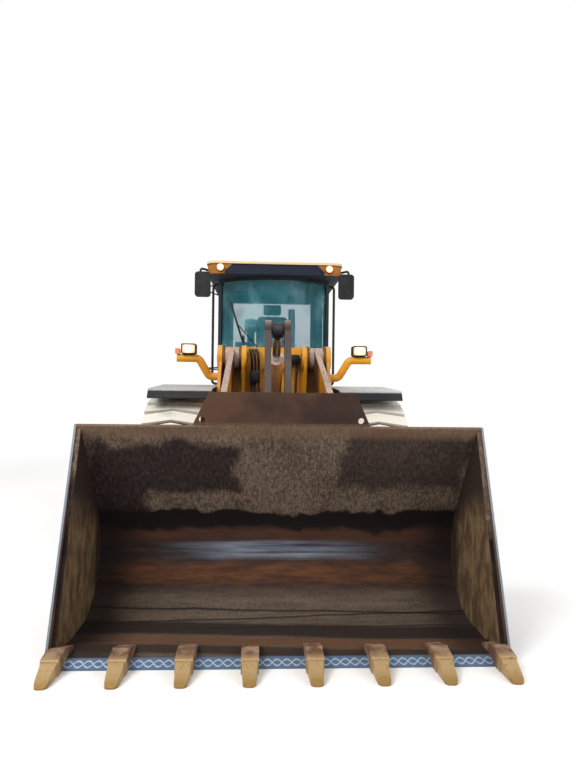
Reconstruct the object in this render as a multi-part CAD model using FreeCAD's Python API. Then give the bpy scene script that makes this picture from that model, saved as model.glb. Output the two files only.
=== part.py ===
"""Articulated wheel loader with a toothed bucket, parked with its bucket flat on the ground.

Millimetres. +Z is up, the bucket end faces -Y, and +X is the operator's left. The origin is on the
ground under the middle of the machine's overall length. The rear frame carries the cab, engine and
counterweight, and the front frame carries the lift arms. They meet at a vertical hinge halfway
between the axles.
"""
import FreeCAD, Part
import math
import os

V = FreeCAD.Vector

# Driving dimensions
wheelbase = 3200
hinge_y = 510
front_axle_y = hinge_y - wheelbase / 2
rear_axle_y = hinge_y + wheelbase / 2
axle_z = 790
tyre_radius = 790
tyre_width = 600
track = 2070
bead_radius = 316
lug_count = 28
lug_height = 42
lug_width = 132
pin_clearance = 0.06
side_clearance = 5
steer_cylinder_z = 505

# Loader linkage pivots in the side plane, as (y, z)
arm_pivot = (-440, 2060)
bucket_pin = (-2580, 360)
bucket_link_pin = (-2363, 622)
lever_pivot = (-2296, 1382)
lever_link_pin = (-1637, 595)
lever_top_pin = (-1903, 2260)
tilt_base_pin = (-553, 1542)
lift_base_pin = (-400, 1380)
lift_rod_pin = (-1520, 1300)
arm_cross_tube = (-1940, 1332)

# Lanes across the machine, measured from the centre plane
arm_centre = 500
arm_thickness = 60
lever_inner = 62
lever_outer = 122
tower_inner = (350, 390)
tower_outer = (610, 650)
web_lane = (290, 330)
lift_lane = 500
arm_boss_radius = 130

# Bucket
bucket_edge_y = -3840
bucket_width = 2850
bucket_plate = 25
bucket_side_plate = 30
bucket_heel_radius = 480
bucket_floor = 610
bucket_lip_height = 1450
bucket_wall_angle = 33.5
tooth_count = 8
tooth_reach = 220
tooth_width = 108

# Rear body
rear_web = (300, 340)
hood_base_z = 1500
hood_pin = (3690, 1540)
tow_bore_radius = 25.5

# Cab
cab_half_width = 720
cab_front_y = -215
cab_rear_y = 1420
cab_floor_z = 1560
roof_top_z = 3262
roof_brim = 150
roof_crown = 22
cab_top_z = roof_top_z - roof_brim - roof_crown
cab_wall = 50
cab_front_radius = 900
door_hinge_x = 740
door_hinge_z = (1800, cab_top_z - 270)
roof_half_width = 825
glass_thickness = 12


ear_lanes = (
    arm_centre - arm_thickness / 2 - side_clearance - 30,
    arm_centre + arm_thickness / 2 + side_clearance,
)


def box(x0, x1, y0, y1, z0, z1):
    return Part.makeBox(x1 - x0, y1 - y0, z1 - z0, V(x0, y0, z0))


def rod(start, end, radius):
    start, end = V(*start), V(*end)
    along = end - start
    return Part.makeCylinder(radius, along.Length, start, along)


def cross_pin(point, x0, x1, radius):
    """A cylinder along X whose axis passes through the side-plane point (y, z)."""
    return Part.makeCylinder(radius, x1 - x0, V(x0, point[0], point[1]), V(1, 0, 0))


def mirrored(shape):
    return shape.mirror(V(0, 0, 0), V(1, 0, 0))


def both_sides(shape):
    return [shape, mirrored(shape)]


def fused(*shapes):
    flat = []
    for item in shapes:
        flat.extend(item if isinstance(item, (list, tuple)) else [item])
    body = flat[0].multiFuse(flat[1:]) if len(flat) > 1 else flat[0]
    merged = body.removeSplitter()
    sound = merged.isValid() and abs(merged.Volume - body.Volume) < 1
    return merged if sound else body


def outline(points, place):
    """A closed wire through points (a, b) or (a, b, radius), whose corners are rounded by arcs."""
    count = len(points)
    corners = []
    for i in range(count):
        here = points[i]
        radius = here[2] if len(here) > 2 else 0
        corner = V(here[0], here[1], 0)
        before = V(points[i - 1][0], points[i - 1][1], 0)
        after = V(points[(i + 1) % count][0], points[(i + 1) % count][1], 0)
        if not radius:
            corners.append((corner, None, corner))
            continue
        back = (before - corner).normalize()
        ahead = (after - corner).normalize()
        half = back.getAngle(ahead) / 2
        reach = radius / math.tan(half)
        middle = (back + ahead).normalize()
        centre = corner + middle * (radius / math.sin(half))
        corners.append((corner + back * reach, centre - middle * radius, corner + ahead * reach))
    edges = []
    for i, (start, mid, end) in enumerate(corners):
        if mid is not None:
            edges.append(Part.Arc(place(start), place(mid), place(end)).toShape())
        following = corners[(i + 1) % count][0]
        if (following - end).Length > 1e-6:
            edges.append(Part.LineSegment(place(end), place(following)).toShape())
    return Part.Wire(edges)


def side_plate(points, x0, x1):
    """A plate whose outline is drawn in the side plane as (y, z)."""
    wire = outline(points, lambda p: V(x0, p.x, p.y))
    return Part.Face(wire).extrude(V(x1 - x0, 0, 0))


def plan_plate(points, z0, z1):
    """A plate whose outline is drawn from above as (x, y)."""
    wire = outline(points, lambda p: V(p.x, p.y, z0))
    return Part.Face(wire).extrude(V(0, 0, z1 - z0))


def front_plate(points, y0, y1):
    """A plate whose outline is drawn from the front as (x, z)."""
    wire = outline(points, lambda p: V(p.x, y0, p.y))
    return Part.Face(wire).extrude(V(0, y1 - y0, 0))


def bent_tube(points, radius, bend):
    """A round tube through 3-D points whose corners are arcs of radius bend."""
    points = [V(*p) for p in points]
    edges = []
    start = points[0]
    for i in range(1, len(points) - 1):
        back = (points[i - 1] - points[i]).normalize()
        ahead = (points[i + 1] - points[i]).normalize()
        half = back.getAngle(ahead) / 2
        reach = bend / math.tan(half)
        middle = (back + ahead).normalize()
        centre = points[i] + middle * (bend / math.sin(half))
        first, last = points[i] + back * reach, points[i] + ahead * reach
        edges.append(Part.LineSegment(start, first).toShape())
        edges.append(Part.Arc(first, centre - middle * bend, last).toShape())
        start = last
    edges.append(Part.LineSegment(start, points[-1]).toShape())
    path = Part.Wire(edges)
    circle = Part.makeCircle(radius, points[0], points[1] - points[0])
    return path.makePipeShell([Part.Wire([circle])], True, False)


def write(node, *solids):
    """Writes the solids of one node to its STEP file."""
    flat = []
    for item in solids:
        flat.extend(item if isinstance(item, (list, tuple)) else [item])
    parts = [s for shape in flat for s in shape.Solids]
    shape = parts[0] if len(parts) == 1 else Part.makeCompound(parts)
    shape.exportStep("parts/%s.step" % node)


def tyre():
    """A wide tyre about the origin, axis along X: a faceted casing with chevron lugs."""
    half = tyre_width / 2
    base = tyre_radius - lug_height
    # Section as (x, radius), from the bead over one sidewall and the tread to the other bead
    right = [(205, bead_radius), (205, bead_radius + 36), (250, 400), (half - 8, 520), (half, 640), (half - 34, base - 14)]
    section = right + [(-x, r) for x, r in reversed(right)]
    step = 2 * math.pi / lug_count

    def at(x, radius, turn):
        out = radius / math.cos(step / 2)
        return V(x, out * math.sin(turn), out * math.cos(turn))

    faces = []
    for k in range(lug_count):
        a, b = (k - 0.5) * step, (k + 0.5) * step
        for (x0, r0), (x1, r1) in zip(section, section[1:] + section[:1]):
            corners = [at(x0, r0, a), at(x1, r1, a), at(x1, r1, b), at(x0, r0, b)]
            faces.append(Part.Face(Part.makePolygon(corners + corners[:1])))
    casing = Part.Solid(Part.makeShell(faces))
    if casing.Volume < 0:
        casing.reverse()
    reach, sweep = half - 14, 62
    far = (sweep + lug_width) / 2
    # The far corners of the lugs beside the lowest one are what stands on the ground
    lug_top = (tyre_radius - far * math.sin(step)) / math.cos(step)
    chevron = [
        (-reach, -sweep / 2 - lug_width / 2),
        (0, sweep / 2 - lug_width / 2),
        (reach, -sweep / 2 - lug_width / 2),
        (reach, -sweep / 2 + lug_width / 2),
        (0, sweep / 2 + lug_width / 2),
        (-reach, -sweep / 2 + lug_width / 2),
    ]
    root = base - 40
    lug = plan_plate(chevron, root, lug_top)
    lugs = [lug.rotated(V(0, 0, 0), V(1, 0, 0), math.degrees(k * step)) for k in range(lug_count)]
    return casing.multiFuse(lugs)


def rim():
    """A dished rim with its planetary hub about the origin, axis along X, hub towards +X."""
    # Barrel section as (x, radius)
    seat, lip = bead_radius - 0.3, bead_radius + 34
    barrel = [
        (-205.3, seat), (-205.3, lip), (-235, lip), (-235, 285), (235, 285), (235, lip),
        (205.3, lip), (205.3, seat),
    ]
    wire = outline([(x, r) for x, r in barrel], lambda p: V(p.x, 0, p.y))
    body = Part.Face(wire).revolve(V(0, 0, 0), V(1, 0, 0), 360)
    disc = Part.makeCylinder(290, 22, V(92, 0, 0), V(1, 0, 0))
    hub = Part.makeCylinder(178, 110, V(92, 0, 0), V(1, 0, 0))
    cap = Part.makeCone(150, 110, 40, V(202, 0, 0), V(1, 0, 0))
    hand_holes = [
        Part.makeCylinder(26, 60, V(80, 228 * math.sin(a), 228 * math.cos(a)), V(1, 0, 0))
        for a in [k * math.pi / 4 for k in range(8)]
    ]
    return fused(body, disc, hub, cap).cut(Part.makeCompound(hand_holes))


def wheels():
    shape, wheel = tyre(), rim()
    for place, y in (("front", front_axle_y), ("rear", rear_axle_y)):
        for side, sign in (("left", 1), ("right", -1)):
            where = V(sign * track / 2, y, axle_z)
            write("tyre_%s_%s" % (place, side), shape.translated(where))
            turned = wheel if sign > 0 else wheel.rotated(V(0, 0, 0), V(0, 0, 1), 180)
            write("rim_%s_%s" % (place, side), turned.translated(where))


def axle(y):
    """A drive axle: centre drum, tapered tubes and flanges that end inside the rims."""
    inner_face = track / 2 - 40
    drum = Part.makeSphere(215, V(0, y, axle_z))
    tube = Part.makeCylinder(118, 2 * inner_face - 400, V(-inner_face + 200, y, axle_z), V(1, 0, 0))
    pieces = [drum, tube]
    for sign in (1, -1):
        flange = Part.makeCone(120, 190, 130, V(sign * (inner_face - 320), y, axle_z), V(sign, 0, 0))
        brake = Part.makeCylinder(190, 192, V(sign * (inner_face - 190), y, axle_z), V(sign, 0, 0))
        spindle = Part.makeCylinder(60, 131.7, V(sign * inner_face, y, axle_z), V(sign, 0, 0))
        pieces += [flange, brake, spindle]
    return pieces


def front_axle():
    seat_pads = [box(250, 420, front_axle_y - 120, front_axle_y + 120, axle_z, 960)]
    shaft = rod((0, front_axle_y + 150, axle_z), (0, hinge_y - 330, axle_z), 55)
    yoke = rod((0, hinge_y - 360, axle_z), (0, hinge_y - 310, axle_z), 85)
    write("front_axle", fused(axle(front_axle_y), both_sides(seat_pads[0]), shaft, yoke))


def rear_axle():
    trunnion = Part.makeCylinder(120, 700, V(0, rear_axle_y - 350, axle_z), V(0, 1, 0))
    write("rear_axle", fused(axle(rear_axle_y), trunnion))


def front_frame():
    """Front frame: two webs, hinge ears, and the towers that carry the lift arms."""
    web = side_plate([
        (210, 600), (210, 1400), (-270, 1400), (-270, 1620, 40), (-760, 1620, 60), (-1200, 1200, 60),
        (-1480, 1120, 30), (-1480, 960), (-760, 960, 80), (-560, 600, 60),
    ], *web_lane)
    outer = side_plate([
        (-290, 2060), (-290, 800), (-780, 800, 60), (-900, 940, 40), (-1330, 990, 60), (-1300, 1160, 60), (-590, 2010, 40),
    ], *tower_outer)
    inner = side_plate([
        (-290, 2060), (-290, 1330), (-400, 1330), (-420, 1420), (-590, 1960, 40), (-590, 2060),
    ], *tower_inner)
    bosses = [
        cross_pin(arm_pivot, tower_outer[0] - 20, tower_outer[1] + 20, 150),
        cross_pin(arm_pivot, tower_inner[0] - 20, tower_inner[1] + 20, 150),
    ]
    shelf = box(web_lane[0], tower_outer[0] + 10, -820, -270, 800, 840)
    lift_pin = cross_pin(lift_base_pin, web_lane[0], tower_outer[0] + 10, 35)
    lift_seats = [
        cross_pin(lift_base_pin, web_lane[1] - 5, lift_lane - 38, 58),
        cross_pin(lift_base_pin, lift_lane + 38, tower_outer[0] + 5, 58),
    ]
    half = fused(web, outer, inner, bosses, shelf, lift_pin, lift_seats)
    arch = front_plate([
        (-tower_outer[1], 1400), (tower_outer[1], 1400), (tower_outer[1], 1990, 60),
        (400, 2200, 60), (-400, 2200, 60), (-tower_outer[1], 1990, 60),
    ], -300, -270)
    window = front_plate([(-240, 1700, 60), (240, 1700, 60), (240, 1960, 200), (-240, 1960, 200)], -320, -250)
    rear_wall = front_plate([(-330, 560), (330, 560), (330, 1420), (-330, 1420)], 170, 210)
    low_wall = box(-tower_outer[1], tower_outer[1], -300, -270, 800, 1410)
    shaft_way = Part.makeCylinder(140, 2000, V(0, -1000, axle_z), V(0, 1, 0))
    front_tie = box(-web_lane[1], web_lane[1], -1400, -1360, 970, 1120)
    top_tie = box(-tower_inner[1], tower_inner[1], -740, -290, 1380, 1420)
    ears = []
    for z in (645, 1310):
        ears.append(plan_plate([(-150, 200), (-130, hinge_y, 0), (130, hinge_y, 0), (150, 200)], z, z + 60))
        ears.append(Part.makeCylinder(130, 60, V(0, hinge_y, z)))
    tilt_lugs = both_sides(side_plate([
        (-290, 1400), (-290, 1660), (-553, 1660, 90), (-670, 1560, 90), (-690, 1400),
    ], 88, 128))
    tilt_pin = cross_pin(tilt_base_pin, -128, 128, 38)
    tie_floor = box(-web_lane[1], web_lane[1], -560, 210, 600, 640)
    steer_bracket = [
        box(web_lane[1] - 10, 520, 180, 210, 560, 640),
        plan_plate([(310, 120), (520, 120), (520, 310, 60), (310, 210)], 560, 610),
        Part.makeCylinder(24, 30, V(450, 250, steer_cylinder_z + 28.3)),
    ]
    body = fused(half, mirrored(half), arch, rear_wall, low_wall, front_tie, top_tie, ears, tilt_lugs,
                 tie_floor, steer_bracket, [mirrored(s) for s in steer_bracket])
    bores = [Part.makeCylinder(45 + pin_clearance, 1200, V(0, hinge_y, 400)), window, shaft_way]
    arm_bores = [cross_pin(arm_pivot, -700, 700, 60)]
    write("front_frame", body.cut(Part.makeCompound(bores)).cut(arm_bores[0]).fuse(tilt_pin))


def arm_pivot_pins():
    """The two pins that carry the lift arms' rear ends, fixed in the towers."""
    pin = cross_pin(arm_pivot, tower_inner[0] - 30, tower_outer[1] + 30, 60)
    write("arm_pivot_pins", both_sides(pin))


def link_bar(start, end, radius_start, radius_end, waist, x0, x1):
    """A flat bar between two side-plane points, with round eyes and a narrower waist."""
    (ya, za), (yb, zb) = start, end
    length = math.hypot(yb - ya, zb - za)
    along = ((yb - ya) / length, (zb - za) / length)
    side = (-along[1], along[0])

    def at(t, s):
        return (ya + along[0] * t + side[0] * s, za + along[1] * t + side[1] * s)

    bar = side_plate([at(0, -waist), at(length, -waist), at(length, waist), at(0, waist)], x0, x1)
    eyes = [cross_pin(start, x0, x1, radius_start), cross_pin(end, x0, x1, radius_end)]
    return fused(bar, eyes)


def lift_arms():
    """Both lift arms, their cross tube behind the tilt lever, and the ears that hold the lever's pin."""
    x0, x1 = arm_centre - arm_thickness / 2, arm_centre + arm_thickness / 2
    y, z = arm_pivot
    plate = side_plate([
        (y, z + arm_boss_radius), (-1300, 1905, 300), (-1900, 1690, 300), (-2215, 1565, 140), (-2395, 1320, 160),
        (-2462, 860, 260), (-2600, 470), (-2460, 330), (-2260, 720, 200), (-2160, 1010, 200),
        (-1820, 1270, 200), (-1490, 1460, 200), (y, z - arm_boss_radius),
    ], x0, x1)
    side = arm_thickness / 2 + 55
    rear_boss = cross_pin(arm_pivot, arm_centre - side, arm_centre + side, arm_boss_radius)
    nose = cross_pin(bucket_pin, x0, x1, 112)
    ey, ez = lift_rod_pin
    fork = side_plate([
        (ey + 110, ez + 168), (ey + 110, ez + 260), (ey - 160, ez + 210), (ey - 160, ez + 90), (ey - 70, ez + 90),
    ], x0 - 46, x1 + 46)
    lugs = [
        side_plate([
            (ey + 110, ez + 260), (ey - 160, ez + 210), (ey - 70, ez - 72, 60), (ey + 60, ez - 72, 50), (ey + 62, ez + 100),
        ], start, start + 30)
        for start in (x0 - 46, x1 + 16)
    ]
    stubs = [cross_pin(lift_rod_pin, x0 - 20, x0 + 1.7, 34), cross_pin(lift_rod_pin, x1 - 1.7, x1 + 20, 34)]
    # Room for the rod's eye as it drifts from its pin over the lift
    pocket = cross_pin(lift_rod_pin, x0 - 8, x1 + 8, 150)
    ear = link_bar(arm_cross_tube, lever_pivot, 130, 98, 90, lever_outer + 8, lever_outer + 48)
    tube = cross_pin(arm_cross_tube, 0, x0 + 5, 98)
    collar = cross_pin(arm_cross_tube, x0 - 40, x0 + 5, 130)
    half = fused(plate.cut(pocket), rear_boss, nose, fork.cut(pocket), lugs, stubs, ear, tube, collar)
    body = fused(half, mirrored(half))
    bores = [
        cross_pin(arm_pivot, -700, 700, 60 + pin_clearance),
        cross_pin(bucket_pin, -700, 700, 45),
        cross_pin(lever_pivot, -700, 700, 50),
    ]
    write("lift_arms", body.cut(Part.makeCompound(bores)))


def linkage():
    """The tilt lever, its link to the bucket and the pins they turn on."""
    write("lever_pin", cross_pin(lever_pivot, -lever_outer - 60, lever_outer + 60, 50 - pin_clearance))
    upper = link_bar(lever_pivot, lever_top_pin, 105, 92, 78, lever_inner, lever_outer)
    lower = link_bar(lever_pivot, lever_link_pin, 105, 88, 80, lever_inner, lever_outer)
    top_stub = cross_pin(lever_top_pin, 50.3, lever_inner + 5, 44)
    half = fused(upper, lower, top_stub)
    spacer = cross_pin(lever_pivot, -lever_inner - 5, lever_inner + 5, 84)
    lever = fused(half, mirrored(half), spacer)
    holes = [cross_pin(lever_pivot, -300, 300, 50), cross_pin(lever_link_pin, -300, 300, 40)]
    write("tilt_lever", lever.cut(Part.makeCompound(holes)))
    write("link_pin", cross_pin(lever_link_pin, -lever_outer - 12, lever_outer + 12, 40 - pin_clearance))
    link = link_bar(bucket_link_pin, lever_link_pin, 84, 84, 60, -50, 50)
    write("tilt_link", link.cut(cross_pin(lever_link_pin, -60, 60, 40)))


def cylinder_pair(base, end, barrel_length, radii, eye_half, x, piston_at):
    """A hydraulic cylinder in the side plane, centred at x: a hollow barrel with its base eye, and its rod."""
    barrel_radius, rod_radius = radii
    start, finish = V(x, base[0], base[1]), V(x, end[0], end[1])
    along = (finish - start).normalize()
    gland = start + along * barrel_length
    eye_radius = barrel_radius + 8
    tube_start = eye_radius - 3
    tube = Part.makeCylinder(barrel_radius, barrel_length - tube_start, start + along * tube_start, along)
    collar = Part.makeCylinder(barrel_radius + 7, 60, gland - along * 60, along)
    base_eye = cross_pin(base, x - eye_half, x + eye_half, eye_radius)
    barrel = fused(tube, collar, base_eye)
    wall = 14
    bore_start = tube_start + 25
    inner = Part.makeCylinder(barrel_radius - wall, barrel_length - 55 - bore_start, start + along * bore_start, along)
    throat = Part.makeCylinder(rod_radius + 0.5, 200, gland - along * 120, along)
    barrel = barrel.cut(inner.fuse(throat))
    shaft_start = start + along * piston_at
    shaft = Part.makeCylinder(rod_radius, (finish - shaft_start).Length - 46, shaft_start, along)
    piston = Part.makeCylinder(barrel_radius - wall - 0.5, 50, shaft_start, along)
    rod_eye = cross_pin(end, x - eye_half, x + eye_half, rod_radius * 1.75)
    return barrel, fused(shaft, piston, rod_eye)


def hydraulic_cylinders():
    barrel, rod_part = cylinder_pair(lift_base_pin, lift_rod_pin, 1030, (60, 38), 28, lift_lane, 105)
    barrel = barrel.cut(cross_pin(lift_base_pin, 400, 600, 35 + pin_clearance))
    write("lift_cylinder_barrels", both_sides(barrel))
    write("lift_cylinder_rods", both_sides(rod_part))
    barrel, rod_part = cylinder_pair(tilt_base_pin, lever_top_pin, 1010, (74, 42), 50, 0, 300)
    write("tilt_cylinder_barrel", barrel.cut(cross_pin(tilt_base_pin, -100, 100, 38 + pin_clearance)))
    write("tilt_cylinder_rod", rod_part)
    steering_cylinders()


def steering_cylinders():
    x, y_base, y_eye, z = 450, 1500, 250, steer_cylinder_z
    for side, sign in (("left", 1), ("right", -1)):
        cx = sign * x
        tube = rod((cx, y_base - 40, z), (cx, y_base - 885, z), 42)
        base_eye = Part.makeCylinder(50, 56, V(cx, y_base, z - 28))
        hollow = rod((cx, y_base - 90, z), (cx, y_base - 830, z), 33)
        throat = rod((cx, y_base - 820, z), (cx, y_base - 900, z), 25.5)
        barrel = fused(tube, base_eye).cut(fused(hollow, throat))
        barrel = barrel.cut(Part.makeCylinder(24 + pin_clearance, 100, V(cx, y_base, z - 50)))
        write("steer_cylinder_barrel_" + side, barrel)
        shaft = rod((cx, y_eye + 20, z), (cx, y_base - 470, z), 25)
        piston = rod((cx, y_base - 510, z), (cx, y_base - 470, z), 32.5)
        eye = Part.makeCylinder(44, 56, V(cx, y_eye, z - 28))
        write("steer_cylinder_rod_" + side, fused(shaft, piston, eye))


def bucket_section():
    """The bucket's outer side profile as named points in (y, z)."""
    turn = math.radians(bucket_wall_angle)
    centre = (bucket_edge_y + bucket_floor, bucket_heel_radius)
    radius = bucket_heel_radius
    wall_start = (centre[0] + radius * math.cos(turn), centre[1] + radius * math.sin(turn))
    lip_y = wall_start[0] - (bucket_lip_height - wall_start[1]) * math.tan(turn)
    return centre, radius, wall_start, (lip_y, bucket_lip_height)


def bucket_band(offset, front):
    """Edges of the bucket's floor, heel and back wall, moved inwards by offset."""
    centre, radius, _, lip = bucket_section()
    turn = math.radians(bucket_wall_angle)
    r = radius - offset
    floor_front = V(0, front, offset)
    floor_end = V(0, centre[0], offset)
    heel = V(0, centre[0] + r * math.cos(turn / 2 - math.pi / 4), centre[1] + r * math.sin(turn / 2 - math.pi / 4))
    wall_start = V(0, centre[0] + r * math.cos(turn), centre[1] + r * math.sin(turn))
    lip_point = V(0, lip[0] - offset * math.cos(turn), lip[1] - offset * math.sin(turn))
    return floor_front, floor_end, heel, wall_start, lip_point


def bucket():
    """The bucket: rolled shell, end plates, cutting edge, spill guard and the ears on its back."""
    half = bucket_width / 2
    outer = bucket_band(0, bucket_edge_y + 60)
    inner = bucket_band(bucket_plate, bucket_edge_y + 60)
    edges = []
    for a, b, c, d, e in (outer, inner):
        edges += [Part.LineSegment(a, b).toShape(), Part.Arc(b, c, d).toShape(), Part.LineSegment(d, e).toShape()]
    edges += [Part.LineSegment(outer[0], inner[0]).toShape(), Part.LineSegment(outer[4], inner[4]).toShape()]
    shell = Part.Face(Part.Wire(Part.__sortEdges__(edges))).extrude(V(half - bucket_side_plate, 0, 0))
    a, b, c, d, e = outer
    end_edges = [Part.LineSegment(a, b).toShape(), Part.Arc(b, c, d).toShape(), Part.LineSegment(d, e).toShape(),
                 Part.LineSegment(e, a).toShape()]
    end = Part.Face(Part.Wire(end_edges)).extrude(V(bucket_side_plate, 0, 0))
    end = end.translated(V(half - bucket_side_plate, 0, 0))
    lip = V(0, outer[4].y, outer[4].z)
    slope = (lip - V(0, bucket_edge_y + 60, 0))
    side_cutter = side_plate([
        (bucket_edge_y + 20, 40), (lip.y - 10, lip.z), (lip.y + 110, lip.z - 30), (bucket_edge_y + 200, 40),
    ], half, half + 16)
    edge_plate = side_plate([
        (bucket_edge_y, 0), (bucket_edge_y + 300, 0), (bucket_edge_y + 300, -0.0 + 42), (bucket_edge_y + 70, 42),
        (bucket_edge_y, 8),
    ], 0, half + 16)
    turn = math.radians(bucket_wall_angle)
    roll = side_plate([
        (lip.y + 4, lip.z - 2), (lip.y - 22, lip.z - 16), (lip.y + 46, lip.z - 122), (lip.y + 128, lip.z - 90, 30),
        (lip.y + 86, lip.z - 8, 30),
    ], 0, half)
    ear_outline = [
        (-2800, 300), (-2600, 255, 60), (-2470, 300, 60), (-2475, 420, 60), (-2640, 640, 60), (-2840, 745), (-2780, 560),
    ]
    ears = [side_plate(ear_outline, x, x + 30) for x in ear_lanes]
    link_ear = side_plate([
        (-2790, 420), (-2620, 440, 60), (-2400, 530, 70), (-2268, 560, 70), (-2290, 700, 70), (-2500, 740, 60),
        (-2900, 930), (-2870, 760),
    ], 60, 100)
    link_stub = cross_pin(bucket_link_pin, 50.3, 66, 38)
    rib = side_plate([(-3080, 1100), (-2850, 780), (-2830, 860), (-3060, 1180)], 200, 216)
    guard_low, guard_high = 650, 500
    lean = math.tan(turn)
    guard_foot = (lip.y + 40 * lean, lip.z - 40)
    guard_head = (lip.y - 235 * lean, lip.z + 235)
    guard = Part.makeLoft([
        Part.makePolygon([V(x, y, z) for x, y, z in (
            (-w, at[0], at[1]), (w, at[0], at[1]), (w, at[0] + 20, at[1]), (-w, at[0] + 20, at[1]), (-w, at[0], at[1]),
        )])
        for w, at in ((guard_low, guard_foot), (guard_high, guard_head))
    ], True, True)
    a, b, c, d, e = bucket_band(bucket_plate - 5, bucket_edge_y + 60)
    hollow_edges = [Part.LineSegment(a, b).toShape(), Part.Arc(b, c, d).toShape(), Part.LineSegment(d, e).toShape(),
                    Part.LineSegment(e, a).toShape()]
    hollow = Part.Face(Part.Wire(hollow_edges)).extrude(V(half, 0, 0))
    hangers = [piece.cut(hollow) for piece in ears + [link_ear, rib]]
    right = fused(shell, end, side_cutter, edge_plate, roll, hangers, link_stub)
    body = fused(right, mirrored(right), guard)
    lifting_eyes = [Part.makeCylinder(22, 200, V(x, lip.y - 100, lip.z + 38), V(0, 1, 0)) for x in (-560, 560)]
    holes = Part.makeCompound([cross_pin(bucket_pin, -700, 700, 45)] + lifting_eyes)
    write("bucket", body.cut(holes))
    teeth([edge_plate, mirrored(edge_plate), side_cutter, mirrored(side_cutter), end, mirrored(end)])


def teeth(edge):
    """Adapters and pointed tips, seated over the cutting edge."""
    y = bucket_edge_y
    pitch = (bucket_width - 96) / (tooth_count - 1)
    adapter = side_plate([
        (y - 70, 6), (y - 0, 2), (y + 0, 8), (y + 70, 42), (y + 210, 42), (y + 215, 62, 8), (y + 60, 112, 30),
        (y - 70, 96, 12),
    ], -tooth_width / 2, tooth_width / 2)
    half = tooth_width / 2 - 8
    wedge = side_plate([
        (y - 60, 3), (y - tooth_reach, 0), (y - tooth_reach, 12, 6), (y - 165, 46, 60), (y - 60, 90, 30), (y - 40, 60),
    ], -half, half)
    spade = plan_plate([
        (-half, y - 40), (-half, y - 90, 40), (-half + 10, y - tooth_reach, 28), (half - 10, y - tooth_reach, 28),
        (half, y - 90, 40), (half, y - 40),
    ], -5, 120)
    tip = wedge.common(spade)
    tooth = fused(adapter, tip)
    row = [tooth.translated(V((k - (tooth_count - 1) / 2) * pitch, 0, 0)) for k in range(tooth_count)]
    write("bucket_teeth", [tooth.cut(edge) for tooth in row])
    caps = [cross_pin(bucket_pin, x, x + 22, 78) for x in (ear_lanes[0] - side_clearance - 22, ear_lanes[1] + 30 + side_clearance)]
    pin = cross_pin(bucket_pin, ear_lanes[0] - side_clearance, ear_lanes[1] + 30 + side_clearance, 45 - pin_clearance)
    write("bucket_hinge_pins", both_sides(fused(pin, caps)))


def rear_frame():
    """Rear frame: two webs, hinge ears and pins, cab deck, and the saddle over the rear axle."""
    web = side_plate([
        (820, 560), (820, 1440, 30), (2700, 1440, 60), (3620, 1300, 60), (3620, 820), (2500, 1020, 60),
        (1720, 1020, 60), (1500, 560, 60),
    ], *rear_web)
    wide = rear_web[1]
    front_wall = front_plate([(-wide, 560), (wide, 560), (wide, 1440), (-wide, 1440)], 820, 860)
    cross_rear = front_plate([(-wide, 1020), (wide, 1020), (wide, 1300), (-wide, 1300)], 3300, 3340)
    shaft_way = Part.makeCylinder(140, 700, V(0, 600, axle_z), V(0, 1, 0))
    ears = []
    for z in (595, 710, 1260, 1375):
        ears.append(plan_plate([(-130, hinge_y), (130, hinge_y), (200, 830), (-200, 830)], z, z + 45))
        ears.append(Part.makeCylinder(130, 45, V(0, hinge_y, z)))
    pins = [Part.makeCylinder(45, 175, V(0, hinge_y, 590)), Part.makeCylinder(45, 175, V(0, hinge_y, 1255))]
    saddles = []
    for y in (rear_axle_y - 330, rear_axle_y + 250):
        hanger = front_plate([(-200, 640, 80), (200, 640, 80), (200, 1100), (-200, 1100)], y, y + 70)
        saddles.append(hanger.cut(Part.makeCylinder(120.3, 200, V(0, y - 50, axle_z), V(0, 1, 0))))
        saddles.append(box(-wide, wide, y, y + 70, 1020, 1100))
    deck = [box(-690, 690, 860, cab_rear_y, cab_floor_z - 60, cab_floor_z)]
    deck += both_sides(box(*rear_web, 860, cab_rear_y, 1420, cab_floor_z - 50))
    rails = []
    for y in (1640, 3200):
        rails += both_sides(box(wide - 10, 680, y, y + 60, 1380, 1440))
        rails += both_sides(box(600, 640, y, y + 60, 1430, hood_base_z - 0.3))
    rear_posts = both_sides(box(*rear_web, 3190, 3270, 1300, 1440))
    steer_ears = [
        plan_plate([(330, 1430), (510, 1430, 60), (510, 1570, 60), (330, 1570)], 560, 610),
        Part.makeCylinder(24, 96, V(450, 1500, steer_cylinder_z - 32)),
    ]
    steer_right = [mirrored(s) for s in steer_ears]
    body = fused(web, mirrored(web), front_wall, cross_rear, ears, saddles, deck, rails, rear_posts,
                 steer_ears, steer_right)
    write("rear_frame", body.cut(shaft_way).fuse(pins[0]).fuse(pins[1]))
    engine = fused(box(-290, 290, 1250, 3250, 1100, 1420), box(-290, 290, 2300, 3250, 1400, 1900))
    write("engine_block", engine)


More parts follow.
